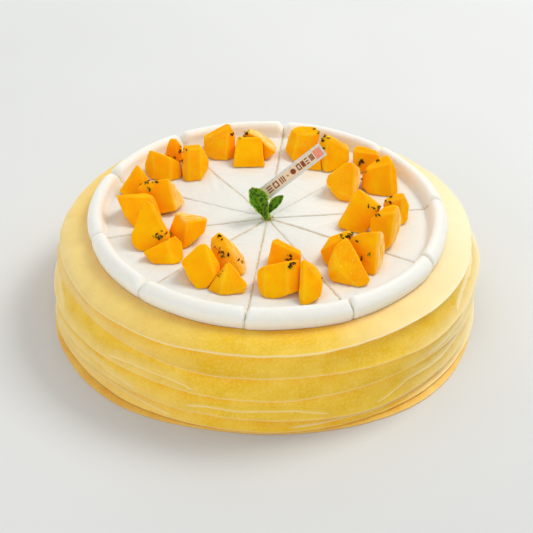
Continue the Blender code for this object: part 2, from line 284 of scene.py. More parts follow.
def on_skirt(index, angles, down):
    """A point on the finished skirt, folds and all."""
    radius, height = skirt_point(index, angles, down)
    return radius + folds(angles, height, down, 10.0 * index), height


# %% [markdown]
# ## The top crepe
# It is flat under the cream, rounds over the shoulder of the cake and hangs down to the first hem.
# The shoulder mixes a quarter circle with a slope, as a soft sheet over a soft edge does.

# %% Rings of the uppermost crepe
SHOULDER_ROWS = 34


def shoulder(angles):
    """Rows of radius, height, mm below the cream and mm above the hem."""
    r1, z1 = hem(0, angles)
    z1 = z1 + HEM_THICKNESS / 3
    rows = []
    for step in range(SHOULDER_ROWS + 1):
        turn = step / SHOULDER_ROWS * math.pi / 2
        out = math.sin(turn)
        down = 0.65 * (1 - math.cos(turn)) + 0.35 * out ** 1.3
        flare = LIP_FLARE * max(0.0, (down - 0.8) / 0.2) ** 2
        radius = FLAT_RADIUS + out * (r1 - FLAT_RADIUS) + flare
        height = TOP_OF_CREPES - down * (TOP_OF_CREPES - z1)
        radius = radius + folds(angles, height, 0.5 * down + 0.25 * out, 7.0) * (1 - down) * out * 2
        # Painted shade: this starts at 0 at the cream's foot, so the crepe there takes the deeper crease colour.
        below = np.full(len(angles), (down * 7 + out * 8))
        rows.append((radius, height, below, (height - z1) / MM))
    return rows


# %% [markdown]
# ## Skinning the crepes
# Every crepe is closed: over the top, round the lip, and back underneath to the middle. The two
# attributes say how far each point is below the edge above, and how much painted highlight it
# gets. The finish uses them to paint shade as a deeper orange-yellow in the crease under each hem,
# and to paint a highlight as a pale line at each lip and a broad pale band on the right of the
# cake, where the window light falls, with a weaker band on the left.

# %% Finish: cooked egg crepe
EGG_CREPE, crepe_shader = new_finish(
    "pan-cooked egg crepe", Roughness=0.5, IOR=1.45, Specular_IOR_Level=0.4, Subsurface_Weight=0.1,
    Sheen_Weight=0.25, Sheen_Roughness=0.35,
)
crepe_shader.inputs["Subsurface Radius"].default_value = (2.0, 1.1, 0.3)
crepe_shader.inputs["Subsurface Scale"].default_value = 0.8 * MM
place = add_node(EGG_CREPE, "ShaderNodeTexCoord").outputs["Object"]
# Painted shade: the 'below' attribute mixes a deeper orange-yellow into the crease under each hem and where the top
# crepe meets the cream.
below = add_node(EGG_CREPE, "ShaderNodeAttribute", attribute_name="below").outputs["Fac"]
# Painted highlight: this attribute mixes the crepe towards near-white at the lips and on the lit sides.
pale = add_node(EGG_CREPE, "ShaderNodeAttribute", attribute_name="pale").outputs["Fac"]
crease_shade = add_node(EGG_CREPE, "ShaderNodeMapRange", {"Value": below, "From Max": 9.0}).outputs["Result"]
crease_shaded_colour = add_node(
    EGG_CREPE, "ShaderNodeValToRGB", {"Fac": crease_shade},
    stops=((0.0, "#f0aa00"), (0.12, "#f2b600"), (0.4, "#f2be00"), (1.0, "#eabb0c")),
).outputs["Color"]
grain = add_node(
    EGG_CREPE, "ShaderNodeTexNoise", {"Vector": place, "Scale": blotches(1.1), "Detail": 4.0, "Roughness": 0.75}
).outputs["Fac"]
clouds = add_node(
    EGG_CREPE, "ShaderNodeTexNoise", {"Vector": place, "Scale": blotches(10), "Detail": 3.0}
).outputs["Fac"]
cloud_amount = add_node(
    EGG_CREPE, "ShaderNodeMapRange", {"Value": clouds, "From Min": 0.35, "From Max": 0.7, "To Max": 0.6}
).outputs["Result"]
clouded = add_node(
    EGG_CREPE, "ShaderNodeMix", {0: cloud_amount, 6: crease_shaded_colour, 7: linear("#f9d34e")}, data_type="RGBA"
).outputs[2]
lip_highlighted = add_node(
    EGG_CREPE, "ShaderNodeMix", {0: pale, 6: clouded, 7: linear("#fdf3d0")}, data_type="RGBA"
).outputs[2]
grain_amount = add_node(
    EGG_CREPE, "ShaderNodeMapRange", {"Value": grain, "From Min": 0.45, "From Max": 0.7, "To Max": 0.4}
).outputs["Result"]
crepe_colour = add_node(
    EGG_CREPE, "ShaderNodeMix", {0: grain_amount, 6: lip_highlighted, 7: linear("#fce184")}, data_type="RGBA"
).outputs[2]
crepe_bump = add_node(
    EGG_CREPE, "ShaderNodeBump", {"Height": grain, "Strength": 0.5, "Distance": 0.12 * MM}
).outputs["Normal"]
EGG_CREPE.node_tree.links.new(crepe_colour, crepe_shader.inputs["Base Color"])
EGG_CREPE.node_tree.links.new(crepe_bump, crepe_shader.inputs["Normal"])
print("finish:", EGG_CREPE.name)


# %% Rings of each crepe, from the middle of its top to the middle of its underside
TUCK_ROOM = 1.5 * MM               # from a skirt's outside to the rings inside it
TUCK_DEPTH = 0.8 * MM              # from the uppermost crepe's top to them
TUCK_RINGS = ((0.35, 0.65), (1.0, 1.0))  # share of the overlap inwards, share of the way up to the underside


def tuck(index, angles):
    """Rings from a lip's inside to the flat underside, never nearer to the skirt's outside than the room."""
    radius, height = hem(index, angles)
    rings = []
    for share_in, share_up in TUCK_RINGS:
        level = height + share_up * (CREPES[index]["under"] * MM - height)
        inside = radius - HEM_THICKNESS - share_in * OVERLAP
        if index:
            start = skirt_start(index, angles)[1]
            down = np.clip((start - level) / (start - height), 0, 1)
            inside = np.minimum(inside, skirt_point(index, angles, down)[0] - TUCK_ROOM)
        else:
            reach = FLAT_RADIUS + 0 * angles
            for out, top, _, _ in shoulder(angles):
                reach = np.where(top > level + TUCK_DEPTH, np.maximum(reach, out), reach)
            inside = np.minimum(inside, reach)
        rings.append((inside, level))
    return rings


def underside(index, angles):
    """The lip's rounding, then back in and up to the flat underside."""
    radius, height = hem(index, angles)
    inner = radius - HEM_THICKNESS
    return [
        (radius + 0.75 * LIP_FLARE, height + 0.12 * HEM_THICKNESS),
        (radius + 0.2 * LIP_FLARE, height),
        (inner + 0.3 * HEM_THICKNESS, height),
        (inner, height + 0.1 * MM),
    ] + tuck(index, angles)


# Painted highlight on the crepes: a thin pale line at every lip, and a broad pale band on the right of the cake where
# the window light falls, weaker on the left.
HIGHLIGHT_SIDE, WEAK_HIGHLIGHT_SIDE = math.radians(95), math.radians(285)
HIGHLIGHT_WIDTHS = (math.radians(76), math.radians(58))  # of the uppermost crepe, of the others
WEAK_HIGHLIGHT_WIDTH, WEAK_HIGHLIGHT = math.radians(60), 0.45
FOOT_HIGHLIGHT = 0.25                   # the crepe at the foot stays golden
SKIRT_FADE, SHOULDER_FADE = 7.0, 26.0  # mm above the lip where the pale band ends


def nearness(angles, side, width):
    """1 at one bearing, falling to 0 this far round from it."""
    away = np.abs((angles - side + math.pi) % math.tau - math.pi)
    return np.clip(1 - away / width, 0, 1) ** 0.6


def painted_highlight_share(above_lip, angles, fade=SKIRT_FADE):
    """Painted highlight: a thin ragged pale line at the lip, and a broad fading pale band where the window light falls
    on the right, a weaker one on the left.
    """
    right = nearness(angles, HIGHLIGHT_SIDE, HIGHLIGHT_WIDTHS[0] if fade == SHOULDER_FADE else HIGHLIGHT_WIDTHS[1])
    left = WEAK_HIGHLIGHT * nearness(angles, WEAK_HIGHLIGHT_SIDE, WEAK_HIGHLIGHT_WIDTH)
    ragged = 0.6 + 0.8 * right * (1 + ripple(angles, 70, 311))
    line = (0.5 + 0.5 * right) * np.clip(1.2 - above_lip / ragged, 0, 1)
    band = np.maximum(right, left) * np.clip(1 - above_lip / fade, 0, 1) ** 1.2
    return np.maximum(line, band)


def crepe_rows(index, angles):
    if index == 0:
        flat = (FLAT_RADIUS - 6 * MM + 0 * angles, TOP_OF_CREPES + 0 * angles, 0 * angles, 9 + 0 * angles)
        upper = [flat] + shoulder(angles)
    else:
        r0, z0 = skirt_start(index, angles)
        upper = [(radius - GAP, height - GAP, 0 * angles, 9 + 0 * angles)
                 for radius, height in reversed(tuck(index - 1, angles))]
        for row in range(SKIRT_ROWS + 1):
            down = row / SKIRT_ROWS
            if index < len(CREPES):
                radius, height = on_skirt(index, angles, down)
                z1 = hem(index, angles)[1]
            else:
                r1 = hem(index - 1, angles)[0] + FOOT_REACH + wave(FOOT_WAVES, angles)
                z1 = FOOT_EDGE * 0.6 + 0 * angles
                radius, height = r0 + down ** 0.6 * (r1 - r0), z0 + down * (z1 - z0)
            upper.append((radius, height, (z0 - height) / MM, (height - z1) / MM))
    if index < len(CREPES):
        lower = [(r, z, 0 * angles, 0 * angles) for r, z in underside(index, angles)]
    else:
        lower = [(r1 - share * MM, level * MM + 0 * angles, 0 * angles, 0 * angles)
                 for share, level in ((0.05, 0.3), (0.4, 0.0))]
    return upper + lower


def add_crepe(index):
    rows = crepe_rows(index, ANGLES)
    fade = SKIRT_FADE if index else SHOULDER_FADE
    highlight_strength = 1.0 if index < len(CREPES) else FOOT_HIGHLIGHT
    top = TOP_OF_CREPES if index == 0 else CREPES[index - 1]["under"] * MM - GAP
    bottom = CREPES[index]["under"] * MM if index < len(CREPES) else 0.0
    verts, faces = skin([polar(r, ANGLES, z) for r, z, _, _ in rows], closed=True)
    verts = np.concatenate((verts, [(0, 0, top), (0, 0, bottom)]))
    last = len(rows) * AROUND
    for a in range(AROUND):
        b = (a + 1) % AROUND
        faces += [(last, a, b), (last + 1, last - AROUND + b, last - AROUND + a)]
    attributes = {
        "below": np.concatenate([row[2] for row in rows] + [(0, 0)]),
        "pale": highlight_strength * np.concatenate([painted_highlight_share(row[3], ANGLES, fade) for row in rows] + [(0, 0)]),
    }
    add_piece(f"draped_crepe_{index + 1}", verts, faces, EGG_CREPE, "crepe", [f"crepe_{index + 1}"], **attributes)


for number in range(len(CREPES) + 1):
    add_crepe(number)

# %% [markdown]
# ## Further hems
# Between the five main hems, thinner edges show here and there where one more crepe peeps out. Each
# is a thin shell that starts inside the skirt that it lies on and ends in its own lip. Its lip parts
# from the main hem below at one end, climbs the skirt and joins the hem again at the other end.

# %% Further hems on the skirts
SHEET_ROWS = 10
SHEETS = (
    # crepe that it lies on, from and to in degrees, how far up its skirt it climbs (share), how far out, frayed
    dict(on=3, start=28, end=112, climb=0.62, out=0.8, fray=0.10),
    dict(on=2, start=44, end=118, climb=0.45, out=0.6, fray=0.20),
    dict(on=1, start=58, end=128, climb=0.50, out=0.5, fray=0.15),
    dict(on=4, start=4, end=82, climb=0.55, out=0.5, fray=0.05),
    dict(on=4, start=50, end=120, climb=0.80, out=0.5, fray=0.10),
    dict(on=2, start=-44, end=-17, climb=0.30, out=0.9, fray=0.05),
    dict(on=1, start=-118, end=-50, climb=0.45, out=0.5, fray=0.35),
    dict(on=3, start=-21, end=18, climb=0.40, out=0.5, fray=0.10),
    dict(on=3, start=-74, end=-33, climb=0.30, out=0.5, fray=0.20),
    dict(on=4, start=-72, end=-22, climb=0.50, out=0.6, fray=0.10),
    dict(on=2, start=-116, end=-66, climb=0.35, out=0.6, fray=0.45),
    dict(on=1, start=130, end=196, climb=0.40, out=0.6, fray=0.10),
    dict(on=3, start=116, end=172, climb=0.45, out=0.7, fray=0.10),
    dict(on=2, start=182, end=238, climb=0.50, out=0.7, fray=0.15),
    dict(on=4, start=196, end=258, climb=0.45, out=0.5, fray=0.10),
)


def sheet_mesh(number, sheet):
    """Rows of points from inside the skirt, down the sheet, round its lip and back in."""
    angles = np.radians(np.arange(sheet["start"], sheet["end"] + 0.25, 0.5))
    along = np.linspace(0, 1, len(angles))
    fade = np.sin(math.pi * along) ** 0.6
    uneven = 1 + 0.35 * ripple(angles, 22, 220 + number)
    level = 0.97 - sheet["climb"] * fade * uneven + sheet["fray"] * 0.4 * fade * ripple(angles, 4, 200 + number)
    level = np.clip(level, 0.12, 0.97)
    proud = (sheet["out"] + 0.2) * MM * np.minimum(1, 2.5 * fade)
    rows, highlight_values = [], []
    for row in range(SHEET_ROWS + 1):
        share = row / SHEET_ROWS
        radius, height = on_skirt(sheet["on"], angles, level * (0.25 + 0.75 * share))
        rows.append((radius + share ** 1.5 * proud - (0.6 - 0.4 * fade) * MM, height))
        # painted highlight along each further hem's lip, as on the main hems
        drop = np.maximum(0.0, height - on_skirt(sheet["on"], angles, level)[1]) / MM
        highlight_values.append(painted_highlight_share(drop, angles))
    radius, height = on_skirt(sheet["on"], angles, level)
    rows += [(radius + proud - 0.35 * MM, height - 0.3 * MM * fade), (radius - 0.4 * MM, height - 0.2 * MM * fade)]
    highlight_values += [0.25 + 0 * along, 0 * along]
    return [polar(r, angles, z) for r, z in rows], highlight_values


def add_sheets():
    verts, faces, highlight_values = [], [], []
    for number, sheet in enumerate(SHEETS):
        rows, row_highlight_values = sheet_mesh(number, sheet)
        points, quads = skin(rows + rows[:1], closed=False)
        points = points[:-len(rows[0])]
        shift, total, width = sum(map(len, verts)), len(points), len(rows[0])
        faces += [tuple(shift + corner % total for corner in quad) for quad in quads]
        faces += [tuple(shift + row * width for row in range(len(rows)))]
        faces += [tuple(shift + row * width + width - 1 for row in reversed(range(len(rows))))]
        verts.append(points)
        highlight_values.append(np.concatenate(row_highlight_values))
    highlight_values = np.concatenate(highlight_values)
    add_piece("further_hems", np.concatenate(verts), faces, EGG_CREPE, "crepe", below=6 + 0 * highlight_values, pale=highlight_values)


add_sheets()

# %% [markdown]
# ## Whipped cream
# Each slice is a flat wedge with a raised rim. The rim's outline is a smooth curve through a few
# points, the same ones as the solid's. Towards a cut the rim draws in and rounds off. The flat part
# keeps the marks of the spatula: shallow strokes, long one way and narrow the other.

# %% Outline of the rim, and how it rounds off
CUT_ANGLES = (-6, 27, 63, 98, 137, 175, 214, 248, 285, 318)
CREAM_BOTTOM = TOP_OF_CREPES + GAP
CREAM_FLOOR = 46.0 * MM
RIM_MIDDLE = 79.0 * MM
TIP_RADIUS = 3.0 * MM
RIM_PROFILE = (
    (82.2, 43.4), (83.0, 46.0), (82.7, 49.4), (80.4, 51.8), (78.2, 52.2), (76.4, 50.8), (75.5, 48.0), (74.0, 46.0),
)
RIM_ROUNDING = {137: 3.4, 175: 3.0, 214: 3.4, 248: 4.6, 285: 6.0, 318: 4.4}  # mm, by cut; others are crisper
RIM_CRISP = 1.7
CURVE_STEPS = 5


def smooth_curve(points, steps):
    """Catmull-Rom: a curve that passes through every point given."""
    points = [2 * Vector(points[0]) - Vector(points[1])] + [Vector(p) for p in points]
    points.append(2 * points[-1] - points[-2])
    curve = []
    for a, b, c, d in zip(points, points[1:], points[2:], points[3:]):
        for step in range(steps):
            t = step / steps
            curve.append(0.5 * (2 * b + (c - a) * t + (2 * a - 5 * b + 4 * c - d) * t ** 2
                                + (3 * b - a - 3 * c + d) * t ** 3))
    return curve + [points[-2]]


RIM_CURVE = smooth_curve(RIM_PROFILE, CURVE_STEPS)
print("rim outline:", len(RIM_CURVE), "points")

# %% [markdown]
# Whipped cream is a matt white foam of fat and air. Light goes a little way in, so its shadows are
# soft and warm, and it has a broad faint sheen.

# %% Finish: whipped cream
WHIPPED_CREAM, cream_shader = new_finish(
    "spread whipped cream", Roughness=0.5, IOR=1.45, Specular_IOR_Level=0.4, Subsurface_Weight=0.6
)
cream_shader.inputs["Subsurface Radius"].default_value = (1.2, 1.1, 0.95)
cream_shader.inputs["Subsurface Scale"].default_value = 3.0 * MM
place = add_node(WHIPPED_CREAM, "ShaderNodeTexCoord").outputs["Object"]
blush = add_node(WHIPPED_CREAM, "ShaderNodeAttribute", attribute_name="blush").outputs["Fac"]
cream_grain = add_node(
    WHIPPED_CREAM, "ShaderNodeTexNoise", {"Vector": place, "Scale": blotches(2.0), "Detail": 3.0}
).outputs["Fac"]
cream_tint = add_node(
    WHIPPED_CREAM, "ShaderNodeMapRange", {"Value": cream_grain, "From Min": 0.3, "From Max": 0.7}
).outputs["Result"]
plain_cream = add_node(
    WHIPPED_CREAM, "ShaderNodeMix", {0: cream_tint, 6: linear("#edece3"), 7: linear("#f0efe7")}, data_type="RGBA"
).outputs[2]
# Painted warm shade and juice stain: peach mixed into the cream where the attribute is high, near the fruit.
cream_colour = add_node(
    WHIPPED_CREAM, "ShaderNodeMix", {0: blush, 6: plain_cream, 7: linear("#f2d9b0")}, data_type="RGBA"
).outputs[2]
cream_bump = add_node(
    WHIPPED_CREAM, "ShaderNodeBump", {"Height": cream_grain, "Strength": 0.2, "Distance": 0.1 * MM}
).outputs["Normal"]
WHIPPED_CREAM.node_tree.links.new(cream_colour, cream_shader.inputs["Base Color"])
WHIPPED_CREAM.node_tree.links.new(cream_bump, cream_shader.inputs["Normal"])
print("finish:", WHIPPED_CREAM.name)

# %% [markdown]
# A slice is a grid: stations go across it from cut to cut, and at each station a section runs from
# the point of the slice out over the rim and back. Stations lie closer near the cuts, where the edge
# rounds over. Round the fruit a peach tint is mixed into the cream: partly a juice stain and partly
# painted warm shade, shifted to the side where the fruit's shadows fall.

# %% Slices of cream
STATIONS = 58
FLOOR_STEPS = 64
CUT_GAP = 0.22 * MM                # half the width of the knife's cut
EDGE_ROUND = 0.7 * MM
BEND, BEND_LENGTH = 0.7 * MM, 18 * MM
STEP_BETWEEN = 0.3 * MM            # neighbouring slices differ in height by about this much
STROKES = ((2.6, 0.24), (1.1, 0.08))  # width and depth in mm
STROKE_STRETCH = 7                 # a stroke is this many times longer than wide
# The peach tint near the fruit is partly a juice stain and partly painted warm shade; the shift moves it to the side
# away from the window, where the fruit's shadows fall.
JUICE_AND_SHADE_REACH = 7.0 * MM
JUICE_AND_SHADE_SHIFT = (-1.5 * MM, -1.0 * MM)  # juice and warm shade gather on the side away from the window
MANGO_NODES = sorted(name for name in frame["nodes"] if name.startswith("mango_"))


def node_middle(name):
    low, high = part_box(name)
    return (Vector(low) + Vector(high)) / 2


MANGO_MIDDLES = np.array([node_middle(name)[:2] for name in MANGO_NODES]) + np.array(JUICE_AND_SHADE_SHIFT)


def strokes(x, y, heading, seed):
    """Spatula marks: noise that is long along the heading and narrow across it."""
    along = x * math.cos(heading) + y * math.sin(heading)
    across = -x * math.sin(heading) + y * math.cos(heading)
    total = 0.0
    for width, depth in STROKES:
        spot = Vector((along / (width * STROKE_STRETCH * MM), across / (width * MM), seed))
        total += depth * MM * noise.noise(spot)
    return total


def cut_bend(cut, radius):
    """A knife never cuts quite straight: how far a cut strays sideways at each radius."""
    return BEND * noise.noise(Vector((radius / BEND_LENGTH, 3.3 * cut, 1.0))) * min(1.0, radius / (12 * MM))


def slice_section(rounding, lift, wobble):
    """Radius, height and whether it is the floor, from the slice's point underneath to its point on top."""
    narrow = 0.86 + 0.14 * rounding
    section = [(TIP_RADIUS, CREAM_BOTTOM, 0.0)]
    for radius, height in RIM_CURVE:
        radius = RIM_MIDDLE + (radius * MM - RIM_MIDDLE) * narrow
        height = height * MM
        if height > CREAM_FLOOR:
            height = CREAM_FLOOR + (height - CREAM_FLOOR) * (0.45 + 0.55 * rounding) * (1 + lift)
        section.append((radius + wobble, max(height, CREAM_BOTTOM), 0.0))
    inner = section[-1][0]
    for step in range(1, FLOOR_STEPS + 1):
        share = step / FLOOR_STEPS
        section.append((inner + (TIP_RADIUS - inner) * share, CREAM_FLOOR, min(1.0, share * 12)))
    return section


def add_slice(number, start, end):
    span = math.radians((end - start) % 360)
    middle = math.radians(start) + span / 2
    heading = middle + 0.9 * math.sin(number * 2.4)
    tilt = math.sin(number * 4.7)
    softness = [RIM_ROUNDING.get(angle % 360, RIM_CRISP) * MM for angle in (start, end)]
    rows, juice_and_shade_values = [], []
    for step in range(STATIONS + 1):
        station = -math.cos(math.pi * step / STATIONS) * 0.5 + (2 * step / STATIONS - 1) * 0.5
        from_cut = [(1 + station) * span / 2 * RIM_MIDDLE, (1 - station) * span / 2 * RIM_MIDDLE]
        rounding = min(math.sin(math.pi / 2 * min(1.0, far / soft)) for far, soft in zip(from_cut, softness))
        at = middle + station * span / 2
        lift = 0.10 * noise.noise(Vector((at * 3.0, number, 5.0)))
        wobble = 0.45 * MM * noise.noise(Vector((at * 3.5, number, 9.0)))
        row = []
        section = slice_section(rounding, lift, wobble)
        for radius, height, floor in section:
            reach = span / 2 - math.asin(min(1.0, CUT_GAP / radius))
            bend = [cut_bend(cut, radius) / radius for cut in (number, (number + 1) % len(CUT_ANGLES))]
            angle = middle + station * reach + bend[0] * (1 - station) / 2 + bend[1] * (1 + station) / 2
            x, y = radius * math.sin(angle), -radius * math.cos(angle)
            if floor:
                height += floor * (strokes(x, y, heading, number * 3.1) + STEP_BETWEEN * tilt * (1 - radius / RIM_MIDDLE))
                edge = (1 - abs(station)) * reach * radius
                if edge < EDGE_ROUND:
                    height -= EDGE_ROUND * (1 - math.sqrt(1 - (1 - edge / EDGE_ROUND) ** 2)) * 0.8
            row.append((x, y, height))
        row = np.array(row)
        # Peach tint on the cream's floor near the fruit: juice stain and painted warm shade.
        near = np.min(np.hypot(*(row[:, None, :2] - MANGO_MIDDLES[None]).transpose(2, 0, 1)), axis=1)
        on_floor = np.array([point[2] for point in section])
        juice_and_shade_values.append(0.5 * on_floor * np.clip(1.5 - near / JUICE_AND_SHADE_REACH, 0, 1))
        rows.append(row)
    count = len(rows[0])
    verts, faces = skin(rows, closed=True)
    faces += [tuple(range(count)), tuple(range(len(verts) - 1, len(verts) - count - 1, -1))]
    name = f"cream_slice_{number + 1:02d}"
    add_piece(f"whipped_{name}", verts, faces, WHIPPED_CREAM, "cream", [name], blush=np.concatenate(juice_and_shade_values))


for number, start in enumerate(CUT_ANGLES):
    add_slice(number, start, CUT_ANGLES[(number + 1) % len(CUT_ANGLES)])

# %% [markdown]
# A narrow tan strip stands in each cut, a little lower than the cream on either side, so that the
# cuts show as thin tan lines and not black gaps.

# %% Finish and strips: tan strips in the cuts
CUT_STRIP, cut_strip_shader = new_finish("crepe crumb dragged up by the knife", Roughness=0.7, Specular_IOR_Level=0.2)
place = add_node(CUT_STRIP, "ShaderNodeTexCoord").outputs["Object"]
cut_strip_noise = add_node(
    CUT_STRIP, "ShaderNodeTexNoise", {"Vector": place, "Scale": blotches(3.0), "Detail": 3.0}
).outputs["Fac"]
cut_strip_colour = add_node(
    CUT_STRIP, "ShaderNodeValToRGB", {"Fac": cut_strip_noise},
    stops=((0.3, "#cdb183"), (0.5, "#ddc79c"), (0.7, "#ebdcba")),
).outputs["Color"]
CUT_STRIP.node_tree.links.new(cut_strip_colour, cut_strip_shader.inputs["Base Color"])

STRIP_REACH = 0.5 * MM             # half its width: it runs a little way into the cream
STRIP_STEPS = 90
STRIP_LOW = 0.45 * MM


def rim_height(radius):
    """Height of the rim's curve at a radius, or of the floor inside it."""
    over = [p[1] for p in RIM_CURVE if abs(p[0] * MM - radius) < 0.7 * MM]
    return max([CREAM_FLOOR] + [level * MM for level in over])


def add_strips():
    verts, faces = [], []
    for cut, angle in enumerate(CUT_ANGLES):
        rows = []
        for step in range(STRIP_STEPS + 1):
            radius = TIP_RADIUS * 0.6 + (82.0 * MM - TIP_RADIUS * 0.6) * step / STRIP_STEPS
            turn = math.radians(angle) + cut_bend(cut, radius) / radius
            side = min(STRIP_REACH, 0.3 * radius) / radius
            top = CREAM_FLOOR - STRIP_LOW + 0.35 * (rim_height(radius) - CREAM_FLOOR)
            rows.append(np.array([
                polar(radius, turn - side, CREAM_BOTTOM), polar(radius, turn + side, CREAM_BOTTOM),
                polar(radius, turn + side, top), polar(radius, turn - side, top),
            ]))
        points, quads = skin(rows, closed=True)
        first = sum(map(len, verts))
        last = first + len(points)
        faces += [tuple(first + corner for corner in quad) for quad in quads]
        faces += [tuple(range(first, first + 4)), tuple(range(last - 1, last - 5, -1))]
        verts.append(points)
    add_piece("crumb_in_cuts", np.concatenate(verts), faces, CUT_STRIP, "cream")


add_strips()

# %% [markdown]
# ## Mango
# The mango is diced by hand, so no two pieces are alike: wedges off the round cheek of the fruit,
# trimmed blocks, slivers. Each piece could be modelled by hand, but thirty would take a long time.
# Here a piece is what a knife leaves: flat cuts. An outline is drawn on a sheet that leans back
# over its heap, the side cuts follow the outline, one cut makes the face, one the back, and a few
# more slope off the face. The corners that all these flat cuts leave are wrapped in a hull, a piece
# makes room for those in front of it, and a voxel remesh with a little smoothing gives an even
# mesh with edges as round as wet fruit has.

# %% Finish: ripe mango
RIPE_MANGO, mango_shader = new_finish(
    "ripe mango flesh, freshly cut", Roughness=0.34, IOR=1.4, Subsurface_Weight=0.35,
    Specular_IOR_Level=0.08, Coat_Weight=0.18, Coat_Roughness=0.1, Coat_IOR=1.34,
)
mango_shader.inputs["Subsurface Radius"].default_value = (3.0, 1.3, 0.25)
mango_shader.inputs["Subsurface Scale"].default_value = 1.0 * MM
place = add_node(RIPE_MANGO, "ShaderNodeTexCoord").outputs["Object"]
stretched = add_node(
    RIPE_MANGO, "ShaderNodeMapping", {"Vector": place, "Scale": (1.0, 1.0, 0.25)}
).outputs["Vector"]
fibres = add_node(
    RIPE_MANGO, "ShaderNodeTexNoise", {"Vector": stretched, "Scale": blotches(1.6), "Detail": 4.0}
).outputs["Fac"]
patches = add_node(
    RIPE_MANGO, "ShaderNodeTexNoise", {"Vector": place, "Scale": blotches(7), "Detail": 1.0}
).outputs["Fac"]
mango_base = add_node(
    RIPE_MANGO, "ShaderNodeValToRGB", {"Fac": patches},
    stops=((0.3, "#ffa500"), (0.55, "#ffb200"), (0.8, "#ffc200")),
).outputs["Color"]
fibre_amount = add_node(
    RIPE_MANGO, "ShaderNodeMapRange", {"Value": fibres, "From Min": 0.5, "From Max": 0.8, "To Max": 0.35}
).outputs["Result"]
fibred = add_node(
    RIPE_MANGO, "ShaderNodeMix", {0: fibre_amount, 6: mango_base, 7: linear("#ffc400")}, data_type="RGBA"
).outputs[2]
# Painted highlight: points near a crest are mixed towards pale yellow, the lit glow of the fruit's edges.
edge = add_node(RIPE_MANGO, "ShaderNodeAttribute", attribute_name="edge").outputs["Fac"]
edge_highlight_amount = add_node(RIPE_MANGO, "ShaderNodeMath", {0: edge, 1: 0.5}, operation="MULTIPLY").outputs[0]
edge_highlighted = add_node(
    RIPE_MANGO, "ShaderNodeMix", {0: edge_highlight_amount, 6: fibred, 7: linear("#ffcf24")}, data_type="RGBA"
).outputs[2]
# Painted shade: deeper orange where neighbouring pieces crowd in, in the crevices of each heap.
hidden = add_node(RIPE_MANGO, "ShaderNodeAttribute", attribute_name="hidden").outputs["Fac"]
depth = add_node(
    RIPE_MANGO, "ShaderNodeMapRange", {"Value": hidden, "From Min": 0.1, "From Max": 0.7, "To Max": 0.9}
).outputs["Result"]
crevice_shaded = add_node(
    RIPE_MANGO, "ShaderNodeMix", {0: depth, 6: edge_highlighted, 7: linear("#ff9300")}, data_type="RGBA"
).outputs[2]
# Pale streaks on the juicy cut faces: partly the fruit's own fibres and partly a painted wet highlight.
across_cut = add_node(RIPE_MANGO, "ShaderNodeAttribute", attribute_name="across").outputs["Fac"]
along_cut = add_node(RIPE_MANGO, "ShaderNodeAttribute", attribute_name="along").outputs["Fac"]
cut_place = add_node(
    RIPE_MANGO, "ShaderNodeCombineXYZ", {"X": across_cut, "Y": along_cut}
).outputs["Vector"]
cut_stretched = add_node(
    RIPE_MANGO, "ShaderNodeMapping", {"Vector": cut_place, "Scale": (1.0, 0.07, 1.0)}
).outputs["Vector"]
streaks = add_node(
    RIPE_MANGO, "ShaderNodeTexNoise", {"Vector": cut_stretched, "Scale": 2.4, "Detail": 3.0}
).outputs["Fac"]
streak_amount = add_node(
    RIPE_MANGO, "ShaderNodeMapRange", {"Value": streaks, "From Min": 0.43, "From Max": 0.57, "To Max": 0.85}
).outputs["Result"]
juice = add_node(RIPE_MANGO, "ShaderNodeAttribute", attribute_name="juice").outputs["Fac"]
fibre_and_wet_highlight_amount = add_node(RIPE_MANGO, "ShaderNodeMath", {0: juice, 1: streak_amount}, operation="MULTIPLY").outputs[0]
fibre_and_wet_highlighted = add_node(
    RIPE_MANGO, "ShaderNodeMix", {0: fibre_and_wet_highlight_amount, 6: crevice_shaded, 7: linear("#ffdf9c")}, data_type="RGBA"
).outputs[2]
# Painted highlight: small pale glints of wetness, on the pieces given a share of them, also raised a little by the
# bump.
moist = add_node(RIPE_MANGO, "ShaderNodeAttribute", attribute_name="moist").outputs["Fac"]
glint_spots = add_node(
    RIPE_MANGO, "ShaderNodeTexNoise", {"Vector": place, "Scale": blotches(0.7), "Detail": 3.0}
).outputs["Fac"]
glint_amount = add_node(
    RIPE_MANGO, "ShaderNodeMapRange", {"Value": glint_spots, "From Min": 0.6, "From Max": 0.7, "To Max": 0.6}
).outputs["Result"]
painted_glint_share = add_node(RIPE_MANGO, "ShaderNodeMath", {0: moist, 1: glint_amount}, operation="MULTIPLY").outputs[0]
mango_colour = add_node(
    RIPE_MANGO, "ShaderNodeMix", {0: painted_glint_share, 6: fibre_and_wet_highlighted, 7: linear("#ffe28a")}, data_type="RGBA"
).outputs[2]
fibre_bump = add_node(
    RIPE_MANGO, "ShaderNodeBump", {"Height": fibres, "Strength": 0.3, "Distance": 0.15 * MM}
).outputs["Normal"]
mango_bump = add_node(
    RIPE_MANGO, "ShaderNodeBump", {"Height": painted_glint_share, "Strength": 0.5, "Distance": 0.2 * MM, "Normal": fibre_bump}
).outputs["Normal"]
RIPE_MANGO.node_tree.links.new(mango_colour, mango_shader.inputs["Base Color"])
RIPE_MANGO.node_tree.links.new(mango_bump, mango_shader.inputs["Normal"])
print("finish:", RIPE_MANGO.name)
